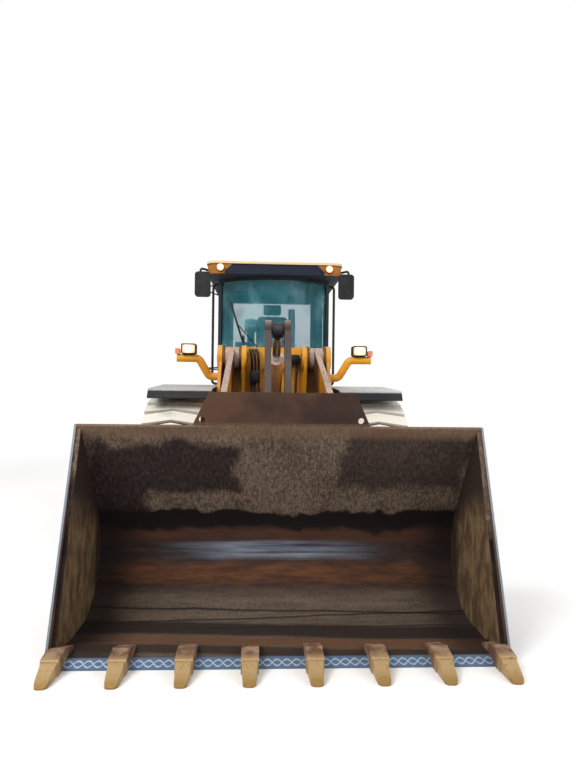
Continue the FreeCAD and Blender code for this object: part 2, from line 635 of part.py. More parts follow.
def rear_body():
    """Counterweight, hood, grille, fenders, steps, tanks and rear lamps."""
    weight = plan_plate([
        (-1180, 3330, 60), (-1240, 3600, 100), (-1120, 4060, 120), (1120, 4060, 120), (1240, 3600, 100), (1180, 3330, 60),
        (720, 3330), (720, 3620), (-720, 3620), (-720, 3330),
    ], 740, 1480)
    mouth = box(-110, 110, 3900, 4070, 960, 1090)
    tow_bore = Part.makeCylinder(tow_bore_radius, 800, V(0, 3990, 700))
    lamp_pockets = both_sides(box(780, 980, 4045, 4070, 1330, 1420))
    hinge_ears = [
        side_plate([(3630, 1470), (3650, 1590, 40), (3740, 1590, 40), (3760, 1470)], x, x + 30)
        for x in (-460, -400, 370, 430)
    ]
    weight = fused(weight.cut(Part.makeCompound([mouth, tow_bore] + lamp_pockets)), hinge_ears)
    weight = weight.fuse([
        cross_pin(hood_pin, -462, -370, 20), cross_pin(hood_pin, 370, 462, 20),
    ])
    write("counterweight", weight)
    write("rear_lamps", both_sides(box(780, 980, 4045, 4060, 1330, 1420)))
    hood_outer = side_plate([
        (1560, hood_base_z), (1560, 2330, 90), (2500, 2300, 400), (3600, 2060, 120), (3600, hood_base_z),
    ], -640, 640)
    hood_inner = side_plate([
        (1500, 1400), (1500, 2290), (2500, 2260, 400), (3560, 2026, 90), (3560, 1400),
    ], -600, 600)
    vents = [box(-700, 700, y, y + 40, 1750, 2000) for y in (1900, 2000, 2100, 2200, 2300, 2400)]
    opening = box(-560, 560, 3550, 3610, 1560, 1960)
    arms = [
        side_plate([(3600, 1500), (3600, 1600), (hood_pin[0], 1575, 40), (hood_pin[0] + 45, 1530, 30), (3690, 1500)], x, x + 26)
        for x in (-428, 402)
    ]
    eyes = cross_pin(hood_pin, -500, 500, 20 + pin_clearance)
    hood = fused(hood_outer.cut(hood_inner).cut(Part.makeCompound(vents + [opening])), arms)
    write("engine_hood", hood.cut(eyes))
    grille = box(-560, 560, 3562, 3598, 1560, 1960)
    slots = [box(-520, 520, 3550, 3610, z, z + 26) for z in range(1590, 1930, 50)]
    write("cooling_grille", grille.cut(Part.makeCompound(slots)))
    arch = side_plate([
        (rear_axle_y - 900, 1420), (rear_axle_y - 820, 1700, 200), (rear_axle_y + 620, 1700, 300),
        (rear_axle_y + 900, 1300), (rear_axle_y + 860, 1280), (rear_axle_y + 590, 1660, 280),
        (rear_axle_y - 790, 1660, 170), (rear_axle_y - 860, 1420),
    ], 650, 1330)
    skirt = side_plate([
        (1560, 1440), (1560, 1680), (2750, 1680, 60), (3260, 1440),
    ], 650, 666)
    under_cab = box(600, 725, 1100, cab_rear_y + 5, 1380, 1800)
    write("rear_fenders", both_sides(fused(arch, skirt).cut(under_cab)))
    tank = plan_plate([(rear_web[1], 900), (690, 900, 80), (690, 1280, 60), (rear_web[1], 1280)], 760, 1300)
    write("side_tanks", both_sides(tank))
    stack = bent_tube([(330, 2000, 2200), (330, 2000, 2800), (330, 2080, 2960)], 55, 60)
    write("exhaust_stack", stack.cut(hood_outer))
    bowl = fused(Part.makeCylinder(60, 560, V(-330, 2000, 2200)), Part.makeCylinder(105, 170, V(-330, 2000, 2600)))
    write("air_precleaner", bowl.cut(hood_outer))


def steps():
    """Access steps on both sides, each with its stringers, treads and landing."""
    side = []
    foot_y = rear_axle_y - 1410
    for x in (760, 1230):
        side.append(side_plate([
            (foot_y, 470, 20), (foot_y + 60, 470, 20), (foot_y + 310, 1500), (foot_y + 230, 1500),
        ], x, x + 20))
    for z, back in ((490, 0), (800, 70), (1110, 150), (1400, 220)):
        side.append(box(760, 1250, foot_y + back, foot_y + back + 150, z, z + 30))
    landing = box(690, 1250, foot_y + 200, foot_y + 530, 1500, 1530)
    flight = fused(side, landing)
    write("access_steps", both_sides(flight))


def cab_plan(inset):
    """The cab's outline from above, with a bowed front, moved inwards by inset."""
    x = cab_half_width - inset
    radius = cab_front_radius - inset
    centre_y = cab_front_y + cab_front_radius
    corner_y = centre_y - math.sqrt(radius ** 2 - x ** 2)
    rear = cab_rear_y - inset
    front = Part.Arc(V(-x, corner_y, 0), V(0, centre_y - radius, 0), V(x, corner_y, 0)).toShape()
    sides = Part.makePolygon([V(x, corner_y, 0), V(x, rear, 0), V(-x, rear, 0), V(-x, corner_y, 0)])
    return Part.Face(Part.Wire([front] + sides.Edges))


def cab_block(inset, z0, z1):
    return cab_plan(inset).translated(V(0, 0, z0)).extrude(V(0, 0, z1 - z0))


DOOR_Y = (230, 1090)
DOOR_Z = (1610, cab_top_z - 50)
SIDE_GLASS_Z = (2020, cab_top_z - 100)
FRONT_GLASS_Z = (1960, cab_top_z - 40)


def roof_shape():
    """The cab roof: a deep brim over the windows, a gutter step and a raised middle with softened edges."""
    w = roof_half_width
    brim_top = cab_top_z + roof_brim
    brim = plan_plate([
        (-w, -330, 120), (w, -330, 120), (w, 1470, 120), (-w, 1470, 120),
    ], cab_top_z, brim_top - 30)
    cap = plan_plate([
        (-w - 12, -345, 125), (w + 12, -345, 125), (w + 12, 1480, 125), (-w - 12, 1480, 125),
    ], brim_top - 30, brim_top)
    raised = plan_plate([
        (-w + 70, -250, 120), (w - 70, -250, 120), (w - 70, 1400, 120), (-w + 70, 1400, 120),
    ], brim_top, roof_top_z)
    upper = [e for e in raised.Edges if e.BoundBox.ZMin > roof_top_z - 1]
    return fused(brim, cap, raised.makeChamfer(roof_crown - 8, upper))


def cab():
    walls = cab_block(0, cab_floor_z, cab_top_z).cut(cab_block(cab_wall, cab_floor_z + 50, cab_top_z + 10))
    door_hole = box(600, 800, DOOR_Y[0], DOOR_Y[1], *DOOR_Z)
    front_hole = box(-676, 676, -400, 128, *FRONT_GLASS_Z)
    rear_hole = box(-600, 600, 1300, 1500, 2050, SIDE_GLASS_Z[1])
    right_hole = box(-800, -600, DOOR_Y[0] + 40, DOOR_Y[1] - 40, *SIDE_GLASS_Z)
    quarter = box(-800, 800, 1150, 1340, *SIDE_GLASS_Z)
    cuts = Part.makeCompound([door_hole, front_hole, rear_hole, right_hole])
    shell = walls.cut(cuts).cut(quarter)
    hinge_parts = []
    for z in door_hinge_z:
        hinge_parts.append(box(cab_half_width, door_hinge_x - 4, DOOR_Y[1] + 8, DOOR_Y[1] + 50, z - 40, z - 2))
        hinge_parts.append(Part.makeCylinder(14, 38, V(door_hinge_x, DOOR_Y[1], z - 40)))
        hinge_parts.append(box(cab_half_width, door_hinge_x, DOOR_Y[1] + 8, DOOR_Y[1] + 20, z - 40, z - 2))
        hinge_parts.append(box(door_hinge_x - 8, door_hinge_x + 8, DOOR_Y[1], DOOR_Y[1] + 20, z - 40, z - 2))
        hinge_parts.append(Part.makeCylinder(7, 80, V(door_hinge_x, DOOR_Y[1], z - 40)))
    write("cab_frame", fused(shell, hinge_parts))
    write("cab_roof", roof_shape())
    mid = cab_wall / 2
    pane_ring = cab_block(mid - glass_thickness / 2, cab_floor_z, cab_top_z).cut(
        cab_block(mid + glass_thickness / 2, cab_floor_z - 10, cab_top_z + 10))
    panes = [
        pane_ring.common(front_hole),
        pane_ring.common(rear_hole),
        pane_ring.common(right_hole),
        pane_ring.common(box(-800, -600, 1150, 1340, *SIDE_GLASS_Z)),
        pane_ring.common(box(600, 800, 1150, 1340, *SIDE_GLASS_Z)),
    ]
    write("cab_glass", panes)
    gap = 6
    leaf = box(cab_half_width - cab_wall, cab_half_width, DOOR_Y[0] + gap, DOOR_Y[1] - gap, DOOR_Z[0] + gap, DOOR_Z[1] - gap)
    light = box(600, 800, DOOR_Y[0] + 70, DOOR_Y[1] - 70, 1960, DOOR_Z[1] - 70)
    handle = box(cab_half_width, cab_half_width + 35, DOOR_Y[0] + 30, DOOR_Y[0] + 60, 1960, 2120)
    knuckles = []
    for z in door_hinge_z:
        knuckle = Part.makeCylinder(14, 38, V(door_hinge_x, DOOR_Y[1], z + 2))
        strap = box(cab_half_width, door_hinge_x + 2, DOOR_Y[1] - 60, DOOR_Y[1], z + 2, z + 40)
        bore = Part.makeCylinder(7 + pin_clearance, 60, V(door_hinge_x, DOOR_Y[1], z - 5))
        knuckles.append(fused(knuckle, strap).cut(bore))
    write("cab_door", fused(leaf.cut(light), handle, knuckles))
    x_mid = cab_half_width - mid
    write("door_glass", box(x_mid - 6, x_mid + 6, DOOR_Y[0] + 70, DOOR_Y[1] - 70, 1960, DOOR_Z[1] - 70))


def cab_interior():
    cushion = box(-250, 250, 620, 1120, 2040, 2170)
    back_z = cab_top_z - 330
    back = side_plate([(1090, 2120), (1200, 2120), (1290, back_z, 40), (1180, back_z, 40)], -240, 240)
    head = side_plate([
        (1210, back_z + 20, 30), (1290, back_z + 20, 30), (1300, back_z + 180, 30), (1220, back_z + 180, 30),
    ], -130, 130)
    neck = box(-60, 60, 1215, 1265, back_z - 60, back_z + 40)
    base = box(-180, 180, 700, 1060, cab_floor_z + 50, 2040)
    write("operator_seat", fused(cushion, back, head, neck, base))
    column = rod((0, 306, cab_floor_z + 100), (0, 420, 2330), 55)
    foot = box(-170, 170, 180, 420, cab_floor_z + 50, cab_floor_z + 190)
    wheel = Part.makeTorus(190, 15, V(0, 0, 0), V(0, 0, 1))
    spokes = [rod((0, 0, 0), (185 * math.cos(a), 185 * math.sin(a), 0), 12) for a in (0.5, 2.6, 4.71)]
    hub = Part.makeCylinder(45, 40, V(0, 0, -20))
    ring = fused(wheel, spokes, hub).rotated(V(0, 0, 0), V(1, 0, 0), 8)
    ring = ring.translated(V(0, 424, 2352))
    write("steering_wheel", ring)
    write("steering_column", fused(column, foot).cut(ring))
    console = box(-520, -300, 640, 1180, cab_floor_z + 50, 2330)
    levers = [rod((-410, 700 + 70 * k, 2330), (-410, 700 + 70 * k, 2430), 14) for k in range(3)]
    write("side_console", fused(console, levers))


def cab_fittings():
    """Mirrors on bent stays, roof lamps and the grab rails beside the cab."""
    mirror_parts, lamp_parts, rails = [], [], []
    low, high, lamp_z = cab_top_z - 290, cab_top_z + 15, cab_top_z + 60
    stay = bent_tube([(790, -140, lamp_z), (905, -320, lamp_z), (905, -320, low + 100)], 14, 40).cut(roof_shape())
    head = front_plate([(780, low, 40), (970, low, 40), (970, high, 40), (780, high, 40)], -352, -306)
    dish = front_plate([
        (794, low + 14, 30), (956, low + 14, 30), (956, high - 14, 30), (794, high - 14, 30),
    ], -312, -300)
    mirror_parts = both_sides(fused(stay, head).cut(dish))
    write("mirrors", mirror_parts)
    front = Part.makeCylinder(44, 62, V(660, -392, lamp_z + 5), V(0, 1, 0))
    rear = Part.makeCylinder(44, 50, V(620, 1470, lamp_z), V(0, 1, 0))
    write("roof_lamps", both_sides(front), both_sides(rear))
    top = DOOR_Z[1]
    rail = bent_tube([(720, 190, top), (790, 190, top), (790, 190, 1750), (720, 190, 1750)], 16, 40)
    write("grab_rails", both_sides(rail))


def front_body():
    """Front fenders and the head lamps on their swept arms."""
    fender = side_plate([
        (-1560, 1600), (-1500, 1690, 60), (-520, 1735, 160), (-290, 1560, 50), (-300, 1500), (-330, 1500),
        (-345, 1540, 60), (-540, 1695, 130), (-1480, 1650, 40), (-1530, 1590),
    ], 650, 1290)
    rib = side_plate([(-1490, 1620), (-1490, 1660), (-540, 1705), (-400, 1620), (-420, 1600), (-560, 1665)], 1250, 1290)
    fender = fused(fender, rib)
    write("front_fenders", both_sides(fender))
    arm = bent_tube([(650, -560, 1830), (760, -560, 1830), (880, -620, 2040), (1130, -640, 2040)], 45, 70)
    write("lamp_arms", both_sides(arm))
    lamp = front_plate([(905, 2085.2, 18), (1075, 2085.2, 18), (1075, 2205, 18), (905, 2205, 18)], -705, -585)
    lamp = lamp.cut(front_plate([(915, 2096, 12), (1065, 2096, 12), (1065, 2195, 12), (915, 2195, 12)], -715, -693))
    indicator = front_plate([(1092, 2085.2, 9), (1144, 2085.2, 9), (1144, 2150, 9), (1092, 2150, 9)], -690, -604)
    write("head_lamps", both_sides(lamp))
    write("indicator_lamps", both_sides(indicator))


def main():
    os.makedirs("parts", exist_ok=True)
    wheels()
    front_axle()
    rear_axle()
    front_frame()
    arm_pivot_pins()
    lift_arms()
    linkage()
    hydraulic_cylinders()
    bucket()
    rear_frame()
    rear_body()
    steps()
    cab()
    cab_interior()
    cab_fittings()
    front_body()


main()
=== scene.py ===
"""Looks of the articulated wheel loader: materials, small pieces, stage and camera round the CAD part."""
import math

import bmesh
import bpy
from mathutils import Matrix, Vector


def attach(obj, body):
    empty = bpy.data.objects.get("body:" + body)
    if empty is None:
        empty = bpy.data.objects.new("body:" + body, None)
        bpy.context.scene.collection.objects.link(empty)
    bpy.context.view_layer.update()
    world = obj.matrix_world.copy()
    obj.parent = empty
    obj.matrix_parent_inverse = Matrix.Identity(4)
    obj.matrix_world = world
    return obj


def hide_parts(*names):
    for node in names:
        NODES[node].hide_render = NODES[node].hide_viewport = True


bl_info = {
    "name": "Wheel Loader Looks",
    "version": (1, 0, 0),
    "blender": (4, 5, 0),
    "location": "View3D > Sidebar > Loader",
    "description": "Materials, small pieces and stage for the articulated wheel loader",
    "category": "Object",
}

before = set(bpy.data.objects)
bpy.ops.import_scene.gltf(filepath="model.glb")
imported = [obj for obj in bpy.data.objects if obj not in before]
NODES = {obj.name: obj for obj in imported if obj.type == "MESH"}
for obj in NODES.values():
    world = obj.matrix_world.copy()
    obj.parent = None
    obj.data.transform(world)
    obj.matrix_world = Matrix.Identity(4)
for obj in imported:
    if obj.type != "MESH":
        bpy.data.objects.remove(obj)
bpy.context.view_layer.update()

# Places on the CAD part that several pieces share, in metres
FRONT_AXLE_Y = -1.09
REAR_AXLE_Y = 2.11
AXLE_Z = 0.79
TRACK_HALF = 1.035
DISC_OUT = TRACK_HALF + 0.114
HUB_OUT = TRACK_HALF + 0.202
CAP_OUT = TRACK_HALF + 0.242
CAB_PANEL_TOP = 1.958
CAB_SIDE_X = 0.721
CAB_REAR_Y = 1.421
GLASS_ARC_Y = 0.685
GLASS_ARC_R = 0.9
CAB_CEILING = 3.088
HEAD_LAMP = (0.99, 2.145)
ROOF_LAMP = (0.66, 3.155)
BUCKET_HALF = 1.425
EDGE_MIDDLE_Y = -3.805
TOWER_OUT = 0.650
WALL_FACE_Y = -0.302

# Cylinder axes as (y, z) from the rear pin to the front one
LIFT_AXIS = ((-0.40, 1.38), (-1.52, 1.30))
TILT_AXIS = ((-0.553, 1.542), (-1.903, 2.26))

WHITE = (1.0, 1.0, 1.0, 1.0)


# Shader maths
class Sock:
    """A shader socket that takes part in Python arithmetic."""

    def __init__(self, tree, socket):
        self.tree = tree
        self.socket = socket

    def _math(self, operation, *values, clamp=False):
        settings = {"operation": operation, "use_clamp": clamp}
        return add_node(self.tree, "Math", settings, dict(enumerate(values)))

    def __add__(self, other):
        return self._math("ADD", self, other)

    __radd__ = __add__

    def __sub__(self, other):
        return self._math("SUBTRACT", self, other)

    def __rsub__(self, other):
        return self._math("SUBTRACT", other, self)

    def __mul__(self, other):
        return self._math("MULTIPLY", self, other)

    __rmul__ = __mul__

    def __pow__(self, other):
        return self._math("POWER", self, other)

    def __rpow__(self, other):
        return self._math("POWER", other, self)

    def __abs__(self):
        return self._math("ABSOLUTE", self)

    def sin(self):
        return self._math("SINE", self)

    def high(self, other):
        return self._math("MAXIMUM", self, other)

    def clamp(self):
        return self._math("ADD", self, 0.0, clamp=True)

    def step(self, low, high):
        """Runs smoothly from 0 at low to 1 at high, also where low is the larger."""
        ends = (1.0, 0.0) if low > high else (0.0, 1.0)
        sockets = {"Value": self, "From Min": min(low, high), "From Max": max(low, high),
                   "To Min": ends[0], "To Max": ends[1]}
        return add_node(self.tree, "MapRange", {"interpolation_type": "SMOOTHSTEP"}, sockets, "Result")


def put(tree, slot, value):
    """Links a socket into a slot, or sets the slot to a value."""
    if isinstance(value, Sock):
        tree.links.new(value.socket, slot)
    else:
        slot.default_value = value


def add_node(tree, kind, settings=(), sockets=(), out=0):
    """Adds a shader node, sets its settings and then its sockets, and gives back one of its outputs."""
    node = tree.nodes.new("ShaderNode" + kind)
    for name, value in dict(settings).items():
        setattr(node, name, value)
    for key, value in dict(sockets).items():
        put(tree, node.inputs[key], value)
    return Sock(tree, node.outputs[out]) if len(node.outputs) else node


def colour(shade):
    """A linear RGBA colour from an sRGB hex string, or from a colour property that is linear already."""
    if not isinstance(shade, str):
        return (*shade, 1.0)
    channels = [int(shade[i:i + 2], 16) / 255 for i in (0, 2, 4)]
    return (*[c / 12.92 if c <= 0.04045 else ((c + 0.055) / 1.055) ** 2.4 for c in channels], 1.0)


class Shade:
    """A procedural material under construction; x, y, z are the place and nx, ny, nz the facing."""

    def __init__(self, name, shine=0.5):
        self.material = bpy.data.materials.new(name)
        self.material.use_nodes = True
        self.tree = self.material.node_tree
        self.surface = next(n for n in self.tree.nodes if n.type == "BSDF_PRINCIPLED")
        self.surface.inputs["Specular IOR Level"].default_value = shine
        self.coords = self.node("TexCoord", out="Object")
        self.x, self.y, self.z = self.split(self.coords)
        self.nx, self.ny, self.nz = self.split(self.node("NewGeometry", out="Normal"))

    def node(self, kind, settings=(), sockets=(), out=0):
        return add_node(self.tree, kind, settings, sockets, out)

    def split(self, vector):
        parts = self.node("SeparateXYZ", sockets={0: vector}).socket.node
        return [Sock(self.tree, out) for out in parts.outputs]

    def noise(self, scale, detail=4.0, stretch=None, rough=0.55):
        vector = self.coords
        if stretch:
            vector = self.node("VectorMath", {"operation": "MULTIPLY"}, {0: vector, 1: stretch})
        sockets = {"Vector": vector, "Scale": scale, "Detail": detail, "Roughness": rough}
        return self.node("TexNoise", sockets=sockets, out="Fac")

    def band(self, value, low, high, soft):
        """1 where value lies between low and high, with edges that fade over soft."""
        return (value.step(low - soft, low + soft) * value.step(high + soft, high - soft)).clamp()

    def mix(self, a, b, factor):
        """Colour a where factor is 0 and colour b where it is 1."""
        a, b = [c if isinstance(c, Sock) else colour(c) for c in (a, b)]
        return self.node("Mix", {"data_type": "RGBA"}, {0: factor, 6: a, 7: b}, 2)

    def bump(self, height, strength=0.3, distance=0.004):
        sockets = {"Strength": strength, "Distance": distance, "Height": height}
        return self.node("Bump", sockets=sockets, out="Normal")

    def finish(self, shade, roughness, **inputs):
        """Feeds the surface, with _ for a space in each other socket's name, and gives back the material."""
        for name, value in dict(inputs, Base_Color=shade, Roughness=roughness).items():
            put(self.tree, self.surface.inputs[name.replace("_", " ")], value)
        return self.material


# Paints
def paint(name, base, wear, dust="B9A98C", dusty=0.55, rough=0.42):
    """Machine paint with dust where it faces up, and grime in soft patches."""
    m = Shade(name, 0.4)
    patches = m.noise(1.7, 5.0)
    fine = m.noise(38.0, 3.0)
    settled = (m.nz.step(0.25, 0.95) * (0.45 + patches * 0.75)).clamp() * dusty
    veil = (patches.step(0.45, 0.75) * 0.22 + fine.step(0.62, 0.8) * 0.10) * dusty * 1.4
    shade = m.mix(base, wear, patches.step(0.38, 0.7) * 0.55)
    shade = m.mix(shade, dust, (settled + veil).clamp())
    streak = m.noise(9.0, 3.0, stretch=(3.0, 3.0, 0.25)).step(0.6, 0.85) * 0.25
    shade = m.mix(shade, "5A3A1C", streak)
    return m.finish(shade, (rough + settled * 0.4 + veil * 0.3).clamp(), Normal=m.bump(fine, 0.12, 0.002))


def loader_yellow(base):
    """Machine yellow, dusty on top, with painted shade in dark brown on the front frame's recessed faces."""
    m = Shade("loader_yellow", 0.35)
    patches = m.noise(1.9, 5.0)
    fine = m.noise(40.0, 3.0)
    shade = m.mix(base, "C07C18", patches.step(0.38, 0.7) * 0.7)
    settled = (m.nz.step(0.3, 0.95) * (0.4 + patches * 0.7)).clamp() * 0.5
    shade = m.mix(shade, "BCAA8A", settled)
    # Painted shade: dark brown between each tower's two plates and on the frame's faces inside the towers
    towers = m.band(m.y, -1.20, -0.30, 0.05)
    between = towers * m.band(abs(m.x), 0.385, 0.615, 0.004)
    shade_inside_towers = towers * abs(m.x).step(0.345, 0.340) * m.z.step(2.02, 1.94)
    shade = m.mix(shade, "3A1F14", (between * 0.85 + shade_inside_towers * (0.35 + patches * 0.5)).clamp())
    shade = m.mix(shade, "6B4A22", (m.z.step(0.95, 0.55) * 0.6 + fine.step(0.6, 0.8) * 0.15).clamp())
    return m.finish(shade, (0.42 + settled * 0.4).clamp(), Normal=m.bump(fine, 0.12, 0.002))


def cab_paint(base):
    """Yellow lower cab panels with black window posts above them."""
    m = Shade("cab_two_tone", 0.22)
    patches = m.noise(2.0, 5.0)
    fine = m.noise(42.0, 3.0)
    shade = m.mix(base, "C78420", patches.step(0.38, 0.7) * 0.6)
    shade = m.mix(shade, "B7A78A", (patches.step(0.5, 0.8) * 0.3 + m.z.step(1.8, 1.56) * 0.35).clamp())
    posts = m.z.step(CAB_PANEL_TOP - 0.002, CAB_PANEL_TOP + 0.002)
    shade = m.mix(shade, m.mix("17191C", "24272B", fine), posts)
    shade = m.mix(shade, "9C9280", (m.nz.step(0.4, 0.95) * 0.5).clamp())
    return m.finish(shade, (0.42 + patches * 0.15 - posts * 0.08).clamp(), Normal=m.bump(fine, 0.1, 0.002))


def roof_paint(base):
    """Tan roof with a cream top edge, a dark bare visor band in front and painted shade on its underside."""
    m = Shade("roof_tan", 0.22)
    patches = m.noise(2.4, 5.0)
    fine = m.noise(50.0, 3.0)
    shade = m.mix(base, "86521F", patches.step(0.35, 0.7))
    shade = m.mix(shade, "D6BE94", m.band(m.z, 3.214, 3.25, 0.004))
    across = abs(m.x)
    visor = m.y.step(-0.315, -0.325) * across.step(0.62, 0.60)
    slope = (across * 0.9 + (m.z - 3.09)).step(0.60, 0.575)
    shade = m.mix(shade, "171C2C", (visor * slope * m.z.step(3.214, 3.208)).clamp())
    shade = m.mix(shade, "CDBE9E", (m.nz.step(0.3, 0.95) * (0.35 + patches * 0.5)).clamp())
    # Painted shade: faces that look down turn dark grey
    shade = m.mix(shade, "2A2C33", m.nz.step(-0.5, -0.9))
    return m.finish(shade, (0.5 + patches * 0.2).clamp(), Normal=m.bump(fine, 0.08, 0.002))


def arm_paint(base):
    """Lift-arm paint, rubbed to a dusty pinkish grey on front and top, with painted shade in dark brown on
    its sides inside the towers.
    """
    m = Shade("arm_paint", 0.22)
    patches = m.noise(2.2, 5.0)
    fine = m.noise(48.0, 4.0)
    shade = m.mix(base, "B87A20", patches.step(0.38, 0.7) * 0.6)
    # Painted shade: the arm's sides inside the towers turn dark brown
    shaded_flank = abs(m.nx).step(0.6, 0.9) * m.y.step(-1.35, -1.05) * abs(m.x).step(0.505, 0.495)
    shade = m.mix(shade, m.mix("3A1F14", "5A3320", patches.step(0.4, 0.65)), shaded_flank)
    rubbed = m.ny.step(-0.25, -0.6).high(m.nz.step(0.45, 0.85))
    rubbed = (rubbed * m.noise(5.0, 3.0).step(0.2, 0.45)).clamp()
    shade = m.mix(shade, m.mix("B9A396", "8F7B70", fine.step(0.45, 0.65)), rubbed)
    shade = m.mix(shade, "5F4630", (patches.step(0.56, 0.8) * 0.5 + m.z.step(0.9, 0.4) * 0.45).clamp())
    return m.finish(shade, (0.45 + rubbed * 0.3).clamp(), Normal=m.bump(fine, 0.15, 0.003))


def fender_paint():
    """Dark fender with a pale grey, dusty top plate and dark faces below it."""
    m = Shade("fender_two_tone", 0.2)
    patches = m.noise(2.6, 5.0)
    fine = m.noise(44.0, 4.0)
    shade = m.mix("1E1C1F", "2E2A2A", patches.step(0.35, 0.7))
    top = (m.nz.step(0.55, 0.80) * (0.55 + patches * 0.6)).clamp()
    shade = m.mix(shade, m.mix("A9ACAC", "C6C4BC", fine.step(0.4, 0.6)), top)
    return m.finish(shade, (0.55 + top * 0.3).clamp(), Normal=m.bump(fine, 0.15, 0.003))


# Bucket steel, region by region
def bucket_wall(m, broad, grain, hatch, warp):
    """Speckled grey-brown upper wall with three patches of painted shadow and a browner lip."""
    x = m.x + (m.noise(3.3, 4.0) - 0.5) * 0.35
    z = m.z + warp
    wall = m.mix("42362E", "857260", (hatch * 0.5 + grain * 0.5 + (broad - 0.5) * 0.2).step(0.40, 0.64))
    # Painted shadow: three dark patches on the wall
    painted_shadow = m.band(x, -1.36, -0.28, 0.05) * m.band(z, 0.93, 1.30, 0.035)
    painted_shadow = painted_shadow.high(m.band(x, 0.42, 1.40, 0.05) * m.band(z, 0.95, 1.40, 0.04) * (0.55 + hatch * 0.5))
    painted_shadow = painted_shadow.high(m.band(x, -1.45, -1.0, 0.04) * m.band(z, 0.70, 1.12, 0.04))
    wall = m.mix(wall, m.mix("1E1516", "3A2B27", hatch.step(0.42, 0.68)), (painted_shadow * 0.92).clamp())
    return m.mix(wall, "6F5644", m.band(m.z, 1.36, 1.47, 0.03) * 0.6)


def bucket_curve(m, streaks, warp):
    """Dark rolled back with a brown band, a polished streak in its middle with a painted blue-white glint,
    and a black band of painted shadow.
    """
    deep = m.mix("2A1D18", "3C2A22", streaks.step(0.4, 0.65))
    deep = m.mix(deep, "573624", m.band(m.z + warp * 0.2, 0.50, 0.60, 0.03) * (0.2 + streaks * 0.6))
    # Painted reflection: a blue-white glint in stripes along the polished streak
    lines = m.noise(6.0, 4.0, stretch=(0.12, 5.0, 5.0), rough=0.7).step(0.38, 0.62)
    glint = m.band(m.z + warp * 0.15, 0.37, 0.49, 0.03) * abs(m.x + 0.05).step(1.0, 0.2)
    deep = m.mix(deep, m.mix("34364A", "8A929E", lines), (glint * (0.35 + streaks * 0.8)).clamp())
    # Painted shadow: near-black wavy band where the wall's shadow edge falls
    return m.mix(deep, "120D0B", m.band(m.z + warp, 0.60, 0.76, 0.025) * 0.95)


def bucket_floor(m, grain, hatch, streaks, warp):
    """Scraped floor in bands that run across it, with thin dark lines and painted shade in its corners."""
    floor = m.mix("43372E", "655749", (hatch * 0.3 + streaks * 0.4 + grain * 0.3).step(0.36, 0.64))
    for tilt, place in ((0.030, -3.075), (-0.045, -3.145), (-0.020, -3.30)):
        line = m.y + m.x * tilt + warp * 0.16
        floor = m.mix(floor, "15100F", m.band(line, place, place + 0.018, 0.007) * 0.8)
    run = m.y + m.x * 0.03 + warp * 0.22 + (m.x * 1.6).sin() * 0.03
    floor = m.mix(floor, "241A17", m.band(run, -3.44, -3.235, 0.03) * (0.75 + streaks * 0.3))
    floor = m.mix(floor, "5E3B22", m.band(run, -3.63, -3.47, 0.04) * (0.4 + streaks * 0.6))
    # Painted shade: the floor darkens towards its corners by the side plates
    corners = (abs(m.x + warp * 0.6) - (m.y + 3.0) * 0.12).step(0.98, 1.32)
    floor = m.mix(floor, "1C1412", corners * 0.75)
    return m.mix(floor, "2E211B", m.band(run, -3.76, -3.64, 0.02) * 0.85)


def bucket_sides(m, broad, grain, warp):
    """Side plates: brown and scraped inside, plain rust outside."""
    scraped = m.noise(8.0, 6.0, stretch=(1.0, 1.6, 0.7), rough=0.7).step(0.38, 0.66)
    plate = m.mix("4E3B2A", "7C6547", scraped)
    plate = m.mix(plate, "2B1F1A", (m.z + m.y * 0.5 + warp * 0.8).step(-0.95, -0.62))
    plate = m.mix(plate, "241914", (m.y + warp * 0.3).step(-2.98, -2.86) * 0.8)
    plate = m.mix(plate, "6B5A48", grain.step(0.55, 0.7) * 0.5)
    outside = abs(m.x).step(BUCKET_HALF - 0.017, BUCKET_HALF - 0.011)
    return m.mix(plate, m.mix("4A3325", "664A36", broad.step(0.4, 0.65)), outside)


